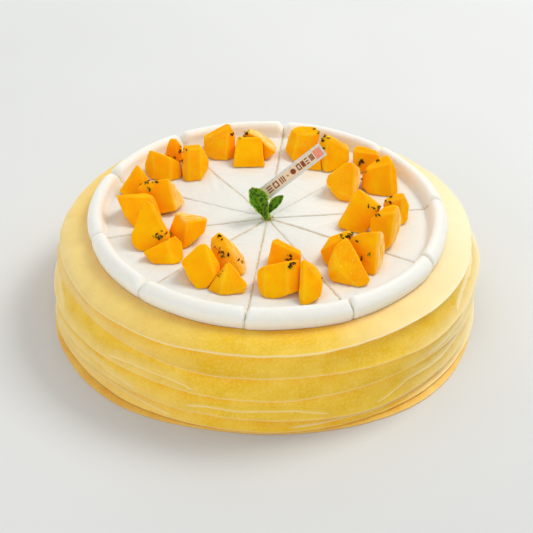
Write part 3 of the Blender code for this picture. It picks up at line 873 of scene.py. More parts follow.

# %% [markdown]
# ### What the knife did
# Every heap has a middle on the cream, and a sheet that stands on it and leans back. A piece is
# an outline on the sheet, in mm across and up, then cuts that fall away from its face. A cut is a
# line on the face: read from its first point to its second, the face falls back on the right of
# it, by an angle in degrees. "juicy" marks the cuts whose face shows pale streaks: partly the
# fruit's wet fibres and partly a painted wet highlight.

# %% Outlines and cuts of the pieces
SHEET_LEAN = math.radians(36.3)
SHEET_ACROSS = Vector((1, 0, 0))
SHEET_UP = Vector((0, math.sin(SHEET_LEAN), math.cos(SHEET_LEAN)))
VIEWPOINT = Vector((0, -580, 426)) * MM   # the outlines are true as seen from here
HEAP_MIDDLES = {
    "a": (-12, 46), "b": (-42, 34), "c": (-52, 2), "d": (-44, -30), "e": (-20, -55),
    "f": (12, -58), "g": (38, -48), "h": (48, -16), "i": (46, 22), "j": (24, 44),
}
MANGO = {
    # turn and tilt of the face in degrees, thickness at the top in mm, rounding, outline, cuts, juicy cuts
    "a1": (-4, 4, 4, 9, ((-19.6, 7.5), (-19.8, 14.2), (-9.5, 20), (-7.8, 20.2), (-5, 15.5), (-4, 3), (-13, 2.6),
                         (-17.3, 4.4)), ((-8.6, 2, -8.4, 20, 32), (-8, 18.4, -20, 12.6, 28)), ()),
    "a2": (3, 10, 4, 3, ((-5.4, -0.4), (-3.7, 14.5), (8.4, 14.6), (10.2, -0.6), (5, -1)),
           ((-3.7, 14, -4.6, -1, 30), (9, 13.6, -4, 13.6, 42)), ()),
    "a3": (-6, 0, 3, 3, ((-1, 14), (1.5, 18.2), (6.2, 17.4), (13.6, 13), (15.6, 9.2), (14.6, 6.4), (10, 2.8),
                         (2, 3.5)), ((15, 7, 1.6, 16.6, 46),), (0,)),
    "b1": (-4, 2, 3, 3, ((-18, 6), (-15.4, 13.5), (-10, 11.2), (-0.3, 8), (0.3, 0.5), (-3.2, -2.4), (-8, -2),
                         (-15, -0.5), (-17.8, 2.5)), ((-14, 14, -13.2, -2, 30), (-5, -3, -5.5, 10, 24)), ()),
    "b2": (-6, 0, 3, 4, ((-8.3, 9), (-7.2, 14.4), (-5.7, 18.5), (-3.1, 18.5), (0, 14.8), (0.4, 8), (-3, 6.5),
                         (-7, 7)), ((-1.6, 7, -3.2, 19, 32),), ()),
    "b3": (8, 4, 5, 6, ((0.3, 12.5), (1, 15.3), (8.4, 16.3), (12.9, 10), (13.4, 7.4), (12.8, 4), (9.6, -1),
                        (5, -2.4), (1.2, -1.8), (0.4, 3)),
           ((3.4, 16, 3.6, -3, 26), (9.6, -2, 8.9, 17, 28), (14, 14.2, 0, 13.4, 34)), ()),
    "c1": (-6, 2, 3, 3, ((-17.2, 9.8), (-9.5, 22), (-8.6, 22), (-3.4, 15.9), (-2, 9), (-6, 7), (-14, 7.4)),
           ((-4.6, 10, -8.2, 23, 28),), ()),
    "c2": (-3, 4, 4, 3, ((-8.6, 11), (-6, 14.2), (5.4, 16.2), (8.6, 13.6), (12.7, 7.7), (14.5, 2.5), (9, 1.3),
                         (4, -2.6), (0, -2), (-6, 6)), ((9.4, 0.5, 5.2, 16.6, 44),), (0,)),
    "c3": (-2, 4, 4, 4, ((-18.8, 8.2), (-5, 9.3), (-1.5, 8), (0.6, 4), (3.2, -2.6), (1, -7), (-7.5, -7.7),
                         (-9.4, -7.3), (-14.4, -1.5)), ((-2, 7.5, -19, 7.2, 48), (2.6, -6, -3.2, 9, 26)), ()),
    "d1": (-3, 2, 4, 9, ((-9.6, 22.6), (-11.4, 21), (-14, 15), (-16.5, 7.5), (-16.6, 5.5), (-15.8, 3),
                         (-12.8, 0.5), (-9, 0.1), (0, 4), (0.6, 8), (-2.2, 12.7), (-7.2, 21)),
           ((-1.4, 8, -8.8, 22.4, 38),), ()),
    "d2": (10, 0, 6, 3, ((-0.3, 9), (2.5, 17.7), (4.5, 18.5), (10.5, 17.6), (16.3, 16.6), (17.3, 15.1),
                         (15.9, 9.2), (10, 4), (6.8, 1.5), (1, 3)),
           ((8.3, 14.2, 6.6, 1, 38), (17.4, 15.2, 8.2, 13.8, 36)), (1,)),
    "d3": (-4, 6, 3, 4, ((-11.5, -0.2), (2, 7.3), (5, 8.2), (6.4, 3), (7.1, -2), (5, -4.9), (2, -5.8), (-5.5, -5.7),
                         (-7.9, -4.1)), ((2.6, -6, -1.6, 8, 20),), ()),
    "e1": (-5, 6, 4, 7, ((-17, 9.7), (-16.3, 11.5), (-10.6, 17), (-8.8, 18.2), (-6.4, 18.2), (-4.3, 16.4),
                         (-0.4, 10), (0.2, 5.4), (-5, 0.1), (-8.4, -1.7), (-9.5, -1.6), (-13.1, 2.4)),
           ((-2.2, 4.6, -7.2, 18.6, 30),), ()),
    "e2": (-3, 8, 4, 4, ((-4.7, 17.5), (-4.5, 21), (-1.2, 23.8), (0.4, 23.2), (5.9, 18.8), (10.4, 13.1), (11.2, 8),
                         (10.8, 6.2), (9.2, 4.8), (2, 5.5), (-1.5, 9)),
           ((9.6, 5, 0.2, 22.8, 30), (-3, 19, 8, 4, 8)), (0,)),
    "e3": (-2, 8, 3, 3, ((3.5, 11), (2.3, 10.4), (-5.3, -1), (-5, -2.3), (-3, -4), (8.5, -4), (10.6, -2.5),
                         (11.8, 0.6), (11.4, 1.9), (4.6, 10.5)),
           ((3, 11, 0, -4.5, 22), (2, -4.2, 12, 0.2, 34)), ()),
    "f1": (-4, 0, 3, 3, ((-9.3, 23.7), (-8.2, 23.5), (0, 19.3), (2.7, 17.8), (2.9, 14), (2.5, 9), (-12, 9.5),
                         (-11.9, 12.5)), ((3, 15.8, -9.6, 21.8, 30),), ()),
    "f2": (-6, 4, 5, 8, ((-16.2, 7), (-15.6, 9.3), (-13.5, 10.8), (-5, 12.7), (1.9, 14), (2.7, 10), (2.1, 0),
                         (1, -1), (-5, -2.2), (-8.5, -3.6), (-10.5, -3.4), (-14.1, -1.5), (-15.6, 3)),
           ((-12.6, 12, -12.4, -4, 26), (-2.6, -3, -3, 14, 22)), ()),
    "f3": (6, 6, 5, 8, ((2.3, 0), (2.9, 14.1), (4.6, 14.1), (8.1, 12.4), (10.4, 10.1), (12.4, 6.5), (12.5, 4),
                        (11.8, -1), (10.9, -2.4), (4.8, -5.9), (3.6, -5.6), (2.6, -3.5)),
           ((4.7, 15, 4.4, -6, 26), (12, 4.8, 4.4, 13.4, 30)), ()),
    "g1": (-8, -4, 4, 3, ((-14.5, 12.3), (-10.9, 18.4), (-3, 21.4), (-1, 20.6), (0, 15), (-4, 6), (-10.5, 5.4),
                          (-12.9, 8)), ((-3.6, 19.2, -14.6, 12.4, 44),), ()),
    "g2": (2, 8, 3, 12, ((-5.2, 18.5), (-2.9, 18.9), (7.2, 0.3), (6.4, -1.3), (4, -2.7), (-1.3, -3.5), (-5, -2.7),
                         (-8.6, -1.1), (-10.4, 0.8), (-11, 3), (-10.7, 7.5), (-8.2, 14)),
           ((-11, 8, 3, -4, 26), (-9, 14, -6, -4, 20)), ()),
    "g3": (-8, -2, 4, 3, ((-2, 17.5), (0.5, 19.6), (4, 20.5), (12, 21.2), (13.1, 20), (13.9, 13), (12.6, 7.4),
                          (9.9, 2.9), (8, 2.1), (4, 4)), ((9.6, 2, 10.3, 22, 44),), (0,)),
    "h1": (-6, 2, 3, 4, ((-7.4, 23.3), (-5.9, 23.3), (-1, 19.2), (4.6, 15.6), (4.4, 13.5), (1, 9), (-1.8, 2.7),
                         (-4.8, 2.1), (-15.9, 5.2), (-16.2, 6.5), (-12.1, 14.2)),
           ((3.4, 11.5, -6.4, 23, 26), (-7.6, 24, -15.4, 5, 22)), ()),
    "h2": (-2, 6, 4, 4, ((4.6, 15.5), (5.2, 18.6), (10, 21.2), (13.9, 21.4), (16.6, 15.8), (15.9, 9), (14.8, 7.9),
                         (12, 6.5), (6, 8)), ((12.8, 7, 13, 22, 28), (13, 19, 5, 16.6, 30)), ()),
    "h3": (-4, 4, 5, 6, ((-1.3, 4), (-0.9, 8.9), (4.8, 14.7), (9, 16), (11.3, 15.5), (12.9, 11), (13.1, 7.2),
                         (11.4, 2.5), (9.8, -1.6), (6, -4.6), (4, -6.3), (-1, 0)),
           ((7.4, -5, 10.6, 16, 36), (12, 12.6, 1, 11, 24)), (0,)),
    "i1": (-5, 4, 4, 8, ((-18.4, 6), (-17.5, 8.8), (-9.6, 14.6), (-6.5, 15.1), (-2.4, 12), (-2.1, 6), (-3.5, 2),
                         (-8.5, -5.3), (-10.6, -4.7), (-15.1, 0.3), (-18, 4)),
           ((-5.6, -2, -4.8, 15, 36), (-17.5, 3.6, -5, -2.4, 26)), (0,)),
    "i2": (-2, 4, 4, 4, ((-5.9, 16), (-5.7, 22.5), (-3, 23.4), (5.3, 21), (7.1, 17), (6, 11), (-1, 10.4),
                         (-3.6, 12.4)), ((6.6, 19, -6, 20.6, 32),), ()),
    "i3": (-3, 2, 5, 9, ((-1.6, 4), (-0.9, 9.6), (1, 13), (8.4, 18.4), (10.6, 18.8), (12.5, 16.4), (14.8, 11.3),
                         (15.5, 1.1), (10, -1), (7, -0.7), (2, 0.8)),
           ((13.1, -1, 12, 18, 30), (13, 15.4, 1, 12.2, 28)), ()),
    "j1": (2, 6, 4, 3, ((-16.4, 8.8), (-15, 14.8), (-13.2, 19.4), (-11.4, 21.5), (-1.8, 20.9), (1.1, 18.3),
                        (-0.5, 12), (-3, 3.5), (-11.5, 3.9)),
           ((0.6, 17.4, -10, 16.8, 36), (-9.6, 18, -12.6, 4, 30)), ()),
    "j2": (4, 6, 5, 5, ((0.2, 12.5), (3, 17), (4.7, 17.2), (14.4, 12.4), (15.2, 10.3), (15.2, 5), (13.6, 2.7),
                        (8, -0.1), (4.5, -1.8), (2.4, 0)), ((4.4, 18, 3.6, -2, 28), (15, 9.6, 4, 15.6, 28)), ()),
    "j3": (0, 4, 3, 3, ((-5.3, 0.3), (-4, 4), (-1, 6), (3, 6), (3.6, 0), (1, -1)), (), ()),
}
SIDE_TAPER = math.radians(5)
BACK_LEAN = math.radians(14)
BACK_TRIMS = ((38, 2.2), (-38, 2.2))       # bearing of a cut off the back's corners, and its depth in mm
PIECE_FOOT = CREAM_FLOOR + 0.06 * MM
ROOM = 0.15 * MM                   # left round the piece in front
SMOOTHING_LOSS = (0.08, 0.035)      # mm that rounding takes off: at least, and for each step of it


def on_sheet(heap, across, up, out=0.0):
    """A point of a heap's sheet, given in mm."""
    middle = Vector((HEAP_MIDDLES[heap][0] * MM, HEAP_MIDDLES[heap][1] * MM, PIECE_FOOT))
    point = middle + (across * SHEET_ACROSS + up * SHEET_UP) * MM
    return point + (VIEWPOINT - point).normalized() * out * MM


def knife_planes(name):
    """The flat cuts round one piece as (outward normal, distance), the cuts off its face last."""
    heap = name[0]
    turn, tilt, thickness, rounding, outline, cuts, _ = MANGO[name]
    foot = min(outline, key=lambda point: point[1])
    out = -foot[1] / math.tan(SHEET_LEAN)
    to_viewer = (VIEWPOINT - on_sheet(heap, *foot)).normalized()
    facing = (to_viewer + math.tan(math.radians(turn)) * SHEET_ACROSS
              + math.tan(math.radians(tilt)) * SHEET_UP).normalized()
    foot = on_sheet(heap, *foot, out)
    planes = [(facing, facing.dot(foot)), (Vector((0, 0, -1)), -PIECE_FOOT)]
    top = on_sheet(heap, *max(outline, key=lambda point: point[1]), out) + Vector((0, thickness * MM, 0))
    behind = Vector((0, math.cos(BACK_LEAN), math.sin(BACK_LEAN)))
    planes.append((behind, behind.dot(top)))
    middle = sum((Vector(point) for point in outline), Vector((0, 0))) / len(outline)
    ordered = sorted(outline, key=lambda p: math.atan2(p[1] - middle.y, p[0] - middle.x))
    for one, two in zip(ordered, ordered[1:] + ordered[:1]):
        along = (two[0] - one[0]) * SHEET_ACROSS + (two[1] - one[1]) * SHEET_UP
        side = along.cross(to_viewer).normalized()
        side = math.cos(SIDE_TAPER) * side - math.sin(SIDE_TAPER) * to_viewer
        planes.append((side, side.dot(on_sheet(heap, *one, out))))
    for x1, y1, x2, y2, fall in cuts:
        ends = []
        for x, y in ((x1, y1), (x2, y2)):
            point = on_sheet(heap, x, y)
            ray = VIEWPOINT - point
            ends.append(point + ray * (facing.dot(foot - point) / facing.dot(ray)))
        right = (ends[1] - ends[0]).cross(facing).normalized()
        angle = math.radians(fall)
        normal = math.sin(angle) * right + math.cos(angle) * facing
        planes.append((normal, normal.dot(ends[0])))
    grow = (SMOOTHING_LOSS[0] + SMOOTHING_LOSS[1] * rounding) * MM
    return [(normal, distance + grow * (normal.z > -0.99)) for normal, distance in planes]


def sharp_corners(planes, grow=0.0):
    """Where three planes meet without lying outside any other plane."""
    normals = np.array([normal for normal, _ in planes])
    distances = np.array([distance for _, distance in planes]) + grow
    trios = np.array(list(itertools.combinations(range(len(planes)), 3)))
    meets = trios[np.abs(np.linalg.det(normals[trios])) > 0.02]
    points = np.linalg.solve(normals[meets], distances[meets][..., None])[..., 0]
    inside = (points @ normals.T < distances + 1e-7).all(axis=1)
    return points[inside]


def trimmed_planes(name):
    """All cuts of a piece, with the corners of its back taken off."""
    planes = knife_planes(name)
    corners = sharp_corners(planes)
    for bearing, depth in BACK_TRIMS:
        normal = Vector((math.sin(math.radians(bearing)), math.cos(math.radians(bearing)), 0.35)).normalized()
        planes.append((normal, float((corners @ np.array(normal)).max()) - depth * MM))
    return planes


def hull_object(points):
    """A temporary object: the convex hull of some points."""
    shell = bmesh.new()
    for point in points:
        shell.verts.new(point)
    bmesh.ops.remove_doubles(shell, verts=shell.verts, dist=1e-5)
    made = bmesh.ops.convex_hull(shell, input=shell.verts)
    inside = [v for v in made["geom_interior"] if isinstance(v, bmesh.types.BMVert)]
    bmesh.ops.delete(shell, geom=inside, context="VERTS")
    bmesh.ops.recalc_face_normals(shell, faces=shell.faces)
    mesh = bpy.data.meshes.new("temporary")
    shell.to_mesh(mesh)
    shell.free()
    temporary = bpy.data.objects.new("temporary", mesh)
    bpy.context.scene.collection.objects.link(temporary)
    return temporary


print("mango pieces:", len(MANGO))

# %% Mango pieces
VOXEL = 0.5 * MM
MANGO_RELIEF = ((6.0, 0.20), (2.2, 0.07))  # wavelength and size in mm
EDGE_HIGHLIGHT_WIDTH = 0.5 * MM
CUT_BAND = 0.9 * MM                # a point this near a cut's plane is on its face
# pieces with painted glints of wetness, and how many
PAINTED_GLINTS = {"g2": 0.8, "e2": 0.9, "e3": 0.5, "a1": 0.8, "i1": 0.6, "h2": 0.5, "c3": 0.3, "b3": 0.4, "j1": 0.5}
NEAR = 14 * MM                     # neighbours further off don't shade a piece
DIRECTIONS = 48


def fine_mesh(planes, in_front, rounding):
    """The piece with room for those in front of it, as an even grid of small quads."""
    temporary = hull_object(sharp_corners(planes))
    others = [hull_object(sharp_corners(other, ROOM)) for other in in_front]
    for other in others:
        cut = temporary.modifiers.new("room", "BOOLEAN")
        cut.operation = "DIFFERENCE"
        cut.solver = "EXACT"
        cut.object = other
    remesh = temporary.modifiers.new("even quads", "REMESH")
    remesh.mode = "VOXEL"
    remesh.voxel_size = VOXEL
    smooth = temporary.modifiers.new("rounded edges", "SMOOTH")
    smooth.factor = 0.5
    smooth.iterations = rounding
    fine = bpy.data.meshes.new_from_object(temporary.evaluated_get(bpy.context.evaluated_depsgraph_get()))
    for spare in [temporary] + others:
        mesh = spare.data
        bpy.data.objects.remove(spare, do_unlink=True)
        bpy.data.meshes.remove(mesh)
    return fine


def even_directions(count):
    """Directions spread evenly over a sphere."""
    numbers = np.arange(count) + 0.5
    heights = 1 - 2 * numbers / count
    turns = numbers * math.pi * (1 + math.sqrt(5))
    flat = np.sqrt(1 - heights ** 2)
    return np.stack([flat * np.cos(turns), flat * np.sin(turns), heights], axis=1)


# This share drives the painted shade in the crevices between pieces.
def hidden_share(points, normals, neighbours):
    """How much of what each point looks out on is a neighbouring piece: 0 to 1."""
    blocked = np.zeros(len(points))
    weights = np.zeros(len(points))
    for direction in even_directions(DIRECTIONS):
        weight = np.clip(normals @ direction, 0, None)
        hit = np.zeros(len(points), dtype=bool)
        for planes in neighbours:
            into, out_of = np.zeros(len(points)), np.full(len(points), NEAR)
            for normal, distance in planes:
                slope = float(np.array(normal) @ direction)
                room = distance - points @ np.array(normal)
                if slope > 1e-6:
                    out_of = np.minimum(out_of, room / slope)
                elif slope < -1e-6:
                    into = np.maximum(into, room / slope)
                else:
                    out_of = np.where(room < 0, -1.0, out_of)
            hit |= into < out_of
        blocked += weight * hit
        weights += weight
    return blocked / weights


def cut_places(points, planes, name):
    """For the juicy cuts of a piece: how far on the cut's face a point is, and where across and along it."""
    on_cut, across, along = (np.zeros(len(points)) for _ in range(3))
    first_cut = len(planes) - len(BACK_TRIMS) - len(MANGO[name][5])
    for number in MANGO[name][6]:
        normal, distance = planes[first_cut + number]
        edge_way = np.cross(np.array(planes[0][0]), np.array(normal))
        edge_way /= np.linalg.norm(edge_way)
        level = np.cross(edge_way, np.array(normal))
        near = np.clip(1.3 - np.abs(points @ np.array(normal) - distance) / CUT_BAND, 0, 1)
        from_face = np.clip((planes[0][1] - points @ np.array(planes[0][0])) / (1.2 * MM), 0, 1)
        here = near > 0
        on_cut = np.where(here, near * from_face, on_cut)
        across = np.where(here, points @ level / MM, across)
        along = np.where(here, points @ edge_way / MM, along)
    return on_cut, across, along


def add_mango(name, planes, in_front, neighbours, seed):
    fine = fine_mesh(planes, in_front, MANGO[name][3])
    shell = bmesh.new()
    shell.from_mesh(fine)
    bpy.data.meshes.remove(fine)
    points = np.array([vert.co for vert in shell.verts])
    normals = np.array([vert.normal for vert in shell.verts])
    away = np.sort([np.abs(points @ np.array(normal) - distance) for normal, distance in planes], axis=0)
    # nearness to a crest, for the painted highlight along the edges
    edge = np.clip(1 - away[1] / EDGE_HIGHLIGHT_WIDTH, 0, 1)
    on_cut, across, along = cut_places(points, planes, name)
    moved = []
    for vert in shell.verts:
        shift = sum(size * MM * noise.noise(vert.co / (wavelength * MM) + Vector((seed, 0, 0)))
                    for wavelength, size in MANGO_RELIEF)
        point = vert.co + vert.normal * (shift - 0.05 * MM)
        point.z = max(point.z, PIECE_FOOT)
        moved.append(point)
    faces = [tuple(v.index for v in face.verts) for face in shell.faces]
    shell.free()
    add_piece(
        "mango_piece_" + name, moved, faces, RIPE_MANGO, "mango", ["mango_" + name], 80,
        edge=edge, hidden=hidden_share(points, normals, neighbours), juice=on_cut, across=across, along=along,
        moist=[PAINTED_GLINTS.get(name, 0.0)] * len(moved),
    )


for heap in HEAP_MIDDLES:
    names = sorted(name for name in MANGO if name[0] == heap)
    names.sort(key=lambda name: min(point[1] for point in MANGO[name][4]))
    cut_out = {name: trimmed_planes(name) for name in names}
    for place, name in enumerate(names):
        in_front = [cut_out[other] for other in names[:place]]
        neighbours = [cut_out[other] for other in names if other != name]
        add_mango(name, cut_out[name], in_front, neighbours, (ord(heap) - 96) * 7.3 + int(name[1]) * 2.1)

# %% [markdown]
# ## Herb specks
# Dried herbs are strewn on the fruit: curled flakes a millimetre or two long. They are real meshes
# joined into one piece. Each is sent along the line of sight from the viewpoint onto whatever
# mango surface lies behind its spot; a BVH tree of the finished pieces finds it.

# %% Finish: dried herb
DRIED_HERB, herb_shader = new_finish("dried herb flakes", Roughness=0.75, IOR=1.45, Specular_IOR_Level=0.3)
shade = add_node(DRIED_HERB, "ShaderNodeAttribute", attribute_name="shade").outputs["Fac"]
herb_colour = add_node(
    DRIED_HERB, "ShaderNodeValToRGB", {"Fac": shade},
    stops=((0.0, "#1f1502"), (0.45, "#3a2c04"), (0.75, "#57580c"), (1.0, "#8f9020")),
).outputs["Color"]
DRIED_HERB.node_tree.links.new(herb_colour, herb_shader.inputs["Base Color"])

# %% Herb flakes on the mango
HERB_SEED = 5
HERB_SPOTS = (
    # heap, across and up its sheet in mm, how many, spread in mm
    ("a", 1.0, 15.3, 7, 0.9), ("a", -2.2, 15, 4, 0.9), ("a", -6.2, 15, 3, 0.5),
    ("b", -0.2, 12.8, 5, 0.8), ("b", 1.6, 14.4, 3, 0.8), ("b", -0.2, 7.2, 4, 0.6), ("b", -3.4, 9.2, 4, 1.2),
    ("c", -3.2, 14.7, 9, 1.0), ("c", -6, 13.6, 3, 0.8), ("c", -3.6, 11.4, 4, 0.6), ("c", -0.2, 15.2, 3, 0.5),
    ("d", -3.8, 6.6, 10, 1.1), ("d", -6, 7.6, 3, 0.5), ("d", 1.1, 8.2, 3, 0.4), ("d", -1.8, 8.6, 2, 0.5),
    ("e", -0.4, 15.8, 6, 0.9), ("e", 0.7, 13.9, 5, 0.7), ("e", 3, 13.6, 4, 0.5), ("e", 0.6, 20.6, 3, 1.0),
    ("e", 0, 5, 3, 0.8), ("e", 8.8, 11.6, 2, 0.5),
    ("f", -1.7, 11.4, 9, 0.8), ("f", -0.4, 12.6, 4, 0.8), ("f", -2.6, 15.8, 4, 0.8), ("f", -3.4, 13.5, 2, 0.3),
    ("f", 3.8, 14.6, 2, 0.3), ("f", 12.5, 6.3, 2, 0.3),
    ("g", -1.8, 19.8, 9, 0.9), ("g", -4.8, 19, 6, 1.0), ("g", 6.7, 11, 3, 0.4), ("g", 3.8, 9.8, 2, 0.3),
    ("g", 1, 17.2, 2, 0.4),
    ("h", -2.2, 15.3, 3, 0.5), ("h", 0.2, 14.6, 3, 0.6), ("h", 3.8, 17, 5, 0.6), ("h", 5.5, 17, 3, 0.5),
    ("h", 3.6, 14.2, 6, 0.8), ("h", 1.6, 11.8, 4, 0.9), ("h", -1.6, 3.8, 3, 0.5), ("h", 8.6, 18.6, 3, 1.0),
    ("i", 6.3, 16.2, 4, 0.5), ("i", -1.1, 16.2, 3, 0.4), ("i", -2.6, 14.6, 4, 0.6), ("i", -1.5, 8, 3, 0.3),
    ("i", 0, 10.4, 2, 0.4),
    ("j", -2.4, 20.2, 3, 0.4), ("j", 0.6, 18, 3, 0.4), ("j", 3.6, 16.2, 4, 0.6), ("j", 2, 14.2, 3, 0.5),
    ("j", 5, 15.8, 2, 0.4), ("j", 2.8, 10.2, 3, 0.4),
)
DROP_FROM = 40.0                   # mm out from the sheet
FLAKE_LENGTH = (0.7, 2.0)          # mm


def surface_tree(prefix):
    """One BVH tree over all pieces whose names start like this."""
    verts, faces = [], []
    for piece in bpy.context.scene.objects:
        if piece.name.startswith(prefix):
            first = len(verts)
            verts += [v.co.copy() for v in piece.data.vertices]
            faces += [tuple(first + i for i in face.vertices) for face in piece.data.polygons]
    return BVHTree.FromPolygons(verts, faces)


def flake(length, width, dice):
    """A small curled leaf fragment lying in XY: a bent diamond strip with two sides."""
    verts, faces = [], []
    steps = 4
    bend = dice.uniform(0.2, 0.9) * width
    for step in range(steps + 1):
        share = step / steps
        half = width / 2 * (0.25 + math.sin(math.pi * share)) * dice.uniform(0.8, 1.2)
        middle = Vector((length * (share - 0.5), dice.uniform(-0.1, 0.1) * width, bend * math.sin(math.pi * share)))
        for side, level in ((1, 0.10), (-1, 0.10), (-1, 0.0), (1, 0.0)):
            verts.append(middle + Vector((0, side * half, level * MM + abs(side) * 0.15 * half)))
    for step in range(steps):
        for side in range(4):
            after = (side + 1) % 4
            a, b = step * 4, step * 4 + 4
            faces.append((a + side, a + after, b + after, b + side))
    faces += [(3, 2, 1, 0), tuple(steps * 4 + i for i in range(4))]
    return verts, faces


def add_herbs():
    dice = random.Random(HERB_SEED)
    tree = surface_tree("mango_piece_")
    verts, faces, shades = [], [], []
    for heap, across, up, count, spread in HERB_SPOTS:
        for _ in range(count):
            spot = on_sheet(heap, dice.gauss(across, spread), dice.gauss(up, spread), DROP_FROM)
            hit, normal, _, _ = tree.ray_cast(spot, (spot - VIEWPOINT).normalized())
            length = dice.uniform(*FLAKE_LENGTH) * MM
            turn = dice.uniform(0, math.tau)
            tone = dice.random()
            points, quads = flake(length, length * dice.uniform(0.22, 0.5), dice)
            if hit is None:
                continue
            lie = normal.to_track_quat("Z", "Y").to_matrix().to_4x4() @ Matrix.Rotation(turn, 4, "Z")
            first = len(verts)
            verts += [hit + normal * 0.05 * MM + lie @ p for p in points]
            faces += [tuple(first + corner for corner in quad) for quad in quads]
            shades += [tone] * len(points)
    add_piece("herb_flakes", verts, faces, DRIED_HERB, "mint", shade=shades)


add_herbs()

# %% [markdown]
# ## Mint
# A mint leaf is a blade with a toothed edge, folded up along its midrib and quilted between its side
# veins. A grid of points gets all of that from its two coordinates: u runs along the leaf and v
# across it. Solidify would do for the thickness, but a second sheet a little behind keeps the thin
# toothed edge closed and crisp.

# %% Finish: fresh mint
FRESH_MINT, mint_shader = new_finish(
    "fresh mint leaf", Roughness=0.42, IOR=1.4, Subsurface_Weight=0.15, Coat_Weight=0.1, Coat_Roughness=0.3
)
mint_shader.inputs["Subsurface Radius"].default_value = (0.5, 1.0, 0.2)
mint_shader.inputs["Subsurface Scale"].default_value = 0.6 * MM
# The attribute read here brightens the real pale veins and also paints a highlight along the leaf's rim.
vein = add_node(FRESH_MINT, "ShaderNodeAttribute", attribute_name="vein").outputs["Fac"]
place = add_node(FRESH_MINT, "ShaderNodeTexCoord").outputs["Object"]
mint_mottle = add_node(
    FRESH_MINT, "ShaderNodeTexNoise", {"Vector": place, "Scale": blotches(1.2), "Detail": 2.0}
).outputs["Fac"]
blade_colour = add_node(
    FRESH_MINT, "ShaderNodeValToRGB", {"Fac": mint_mottle}, stops=((0.35, "#357006"), (0.65, "#70ac18"))
).outputs["Color"]
# Painted shade: the inside of the folded leaf, away from its rim and towards the stalk, is mixed in patches towards
# dark green.
inside = add_node(FRESH_MINT, "ShaderNodeAttribute", attribute_name="inside").outputs["Fac"]
fold_shade_patches = add_node(
    FRESH_MINT, "ShaderNodeMapRange", {"Value": mint_mottle, "From Min": 0.42, "From Max": 0.58, "To Min": 1.0,
                                       "To Max": 0.35}
).outputs["Result"]
fold_shade_amount = add_node(FRESH_MINT, "ShaderNodeMath", {0: inside, 1: fold_shade_patches}, operation="MULTIPLY").outputs[0]
fold_shaded_colour = add_node(
    FRESH_MINT, "ShaderNodeMix", {0: fold_shade_amount, 6: blade_colour, 7: linear("#173a05")}, data_type="RGBA"
).outputs[2]
mint_colour = add_node(
    FRESH_MINT, "ShaderNodeMix", {0: vein, 6: fold_shaded_colour, 7: linear("#b2d838")}, data_type="RGBA"
).outputs[2]
mint_bump = add_node(
    FRESH_MINT, "ShaderNodeBump", {"Height": mint_mottle, "Strength": 0.3, "Distance": 0.1 * MM}
).outputs["Normal"]
FRESH_MINT.node_tree.links.new(mint_colour, mint_shader.inputs["Base Color"])
FRESH_MINT.node_tree.links.new(mint_bump, mint_shader.inputs["Normal"])

# %% Mint leaves
FACING = Vector((0.0, -0.8, 0.6))
LEAF_ALONG, LEAF_ACROSS = 60, 28
LEAF_SHEET = 0.25 * MM
VEINS = 7
TEETH = 9
QUILT = 0.6 * MM
LEAVES = (
    # name, base, tip, width, broadest, lift, fold, roll in degrees, solids replaced
    ("mint_blade_left", (-0.6, -2.0, 46.4), (-7.6, 1.8, 59.8), 10.4, 2.1, 0.8, 0.7, 16, ["mint_leaf_1"]),
    ("mint_blade_right", (0.4, 0.2, 48.6), (6.6, 3.6, 55.4), 5.4, 1.4, 0.6, 0.7, -18, ["mint_leaf_2"]),
    ("mint_bud_back", (-0.8, 1.0, 47.4), (-3.2, 3.4, 55.6), 4.8, 1.6, 0.6, 0.7, 10, []),
    ("mint_bud_front", (-0.2, -1.6, 46.8), (-1.2, -0.8, 52.8), 2.8, 1.4, 0.5, 0.9, -15, []),
)


def leaf_half_width(share, broadest):
    """Narrow at the stalk, broad towards the tip where the power is high, and blunt at the end."""
    if not 0 < share < 1:
        return 0.12
    return 0.14 + 0.86 * math.sin(math.pi * share ** broadest) ** 0.55


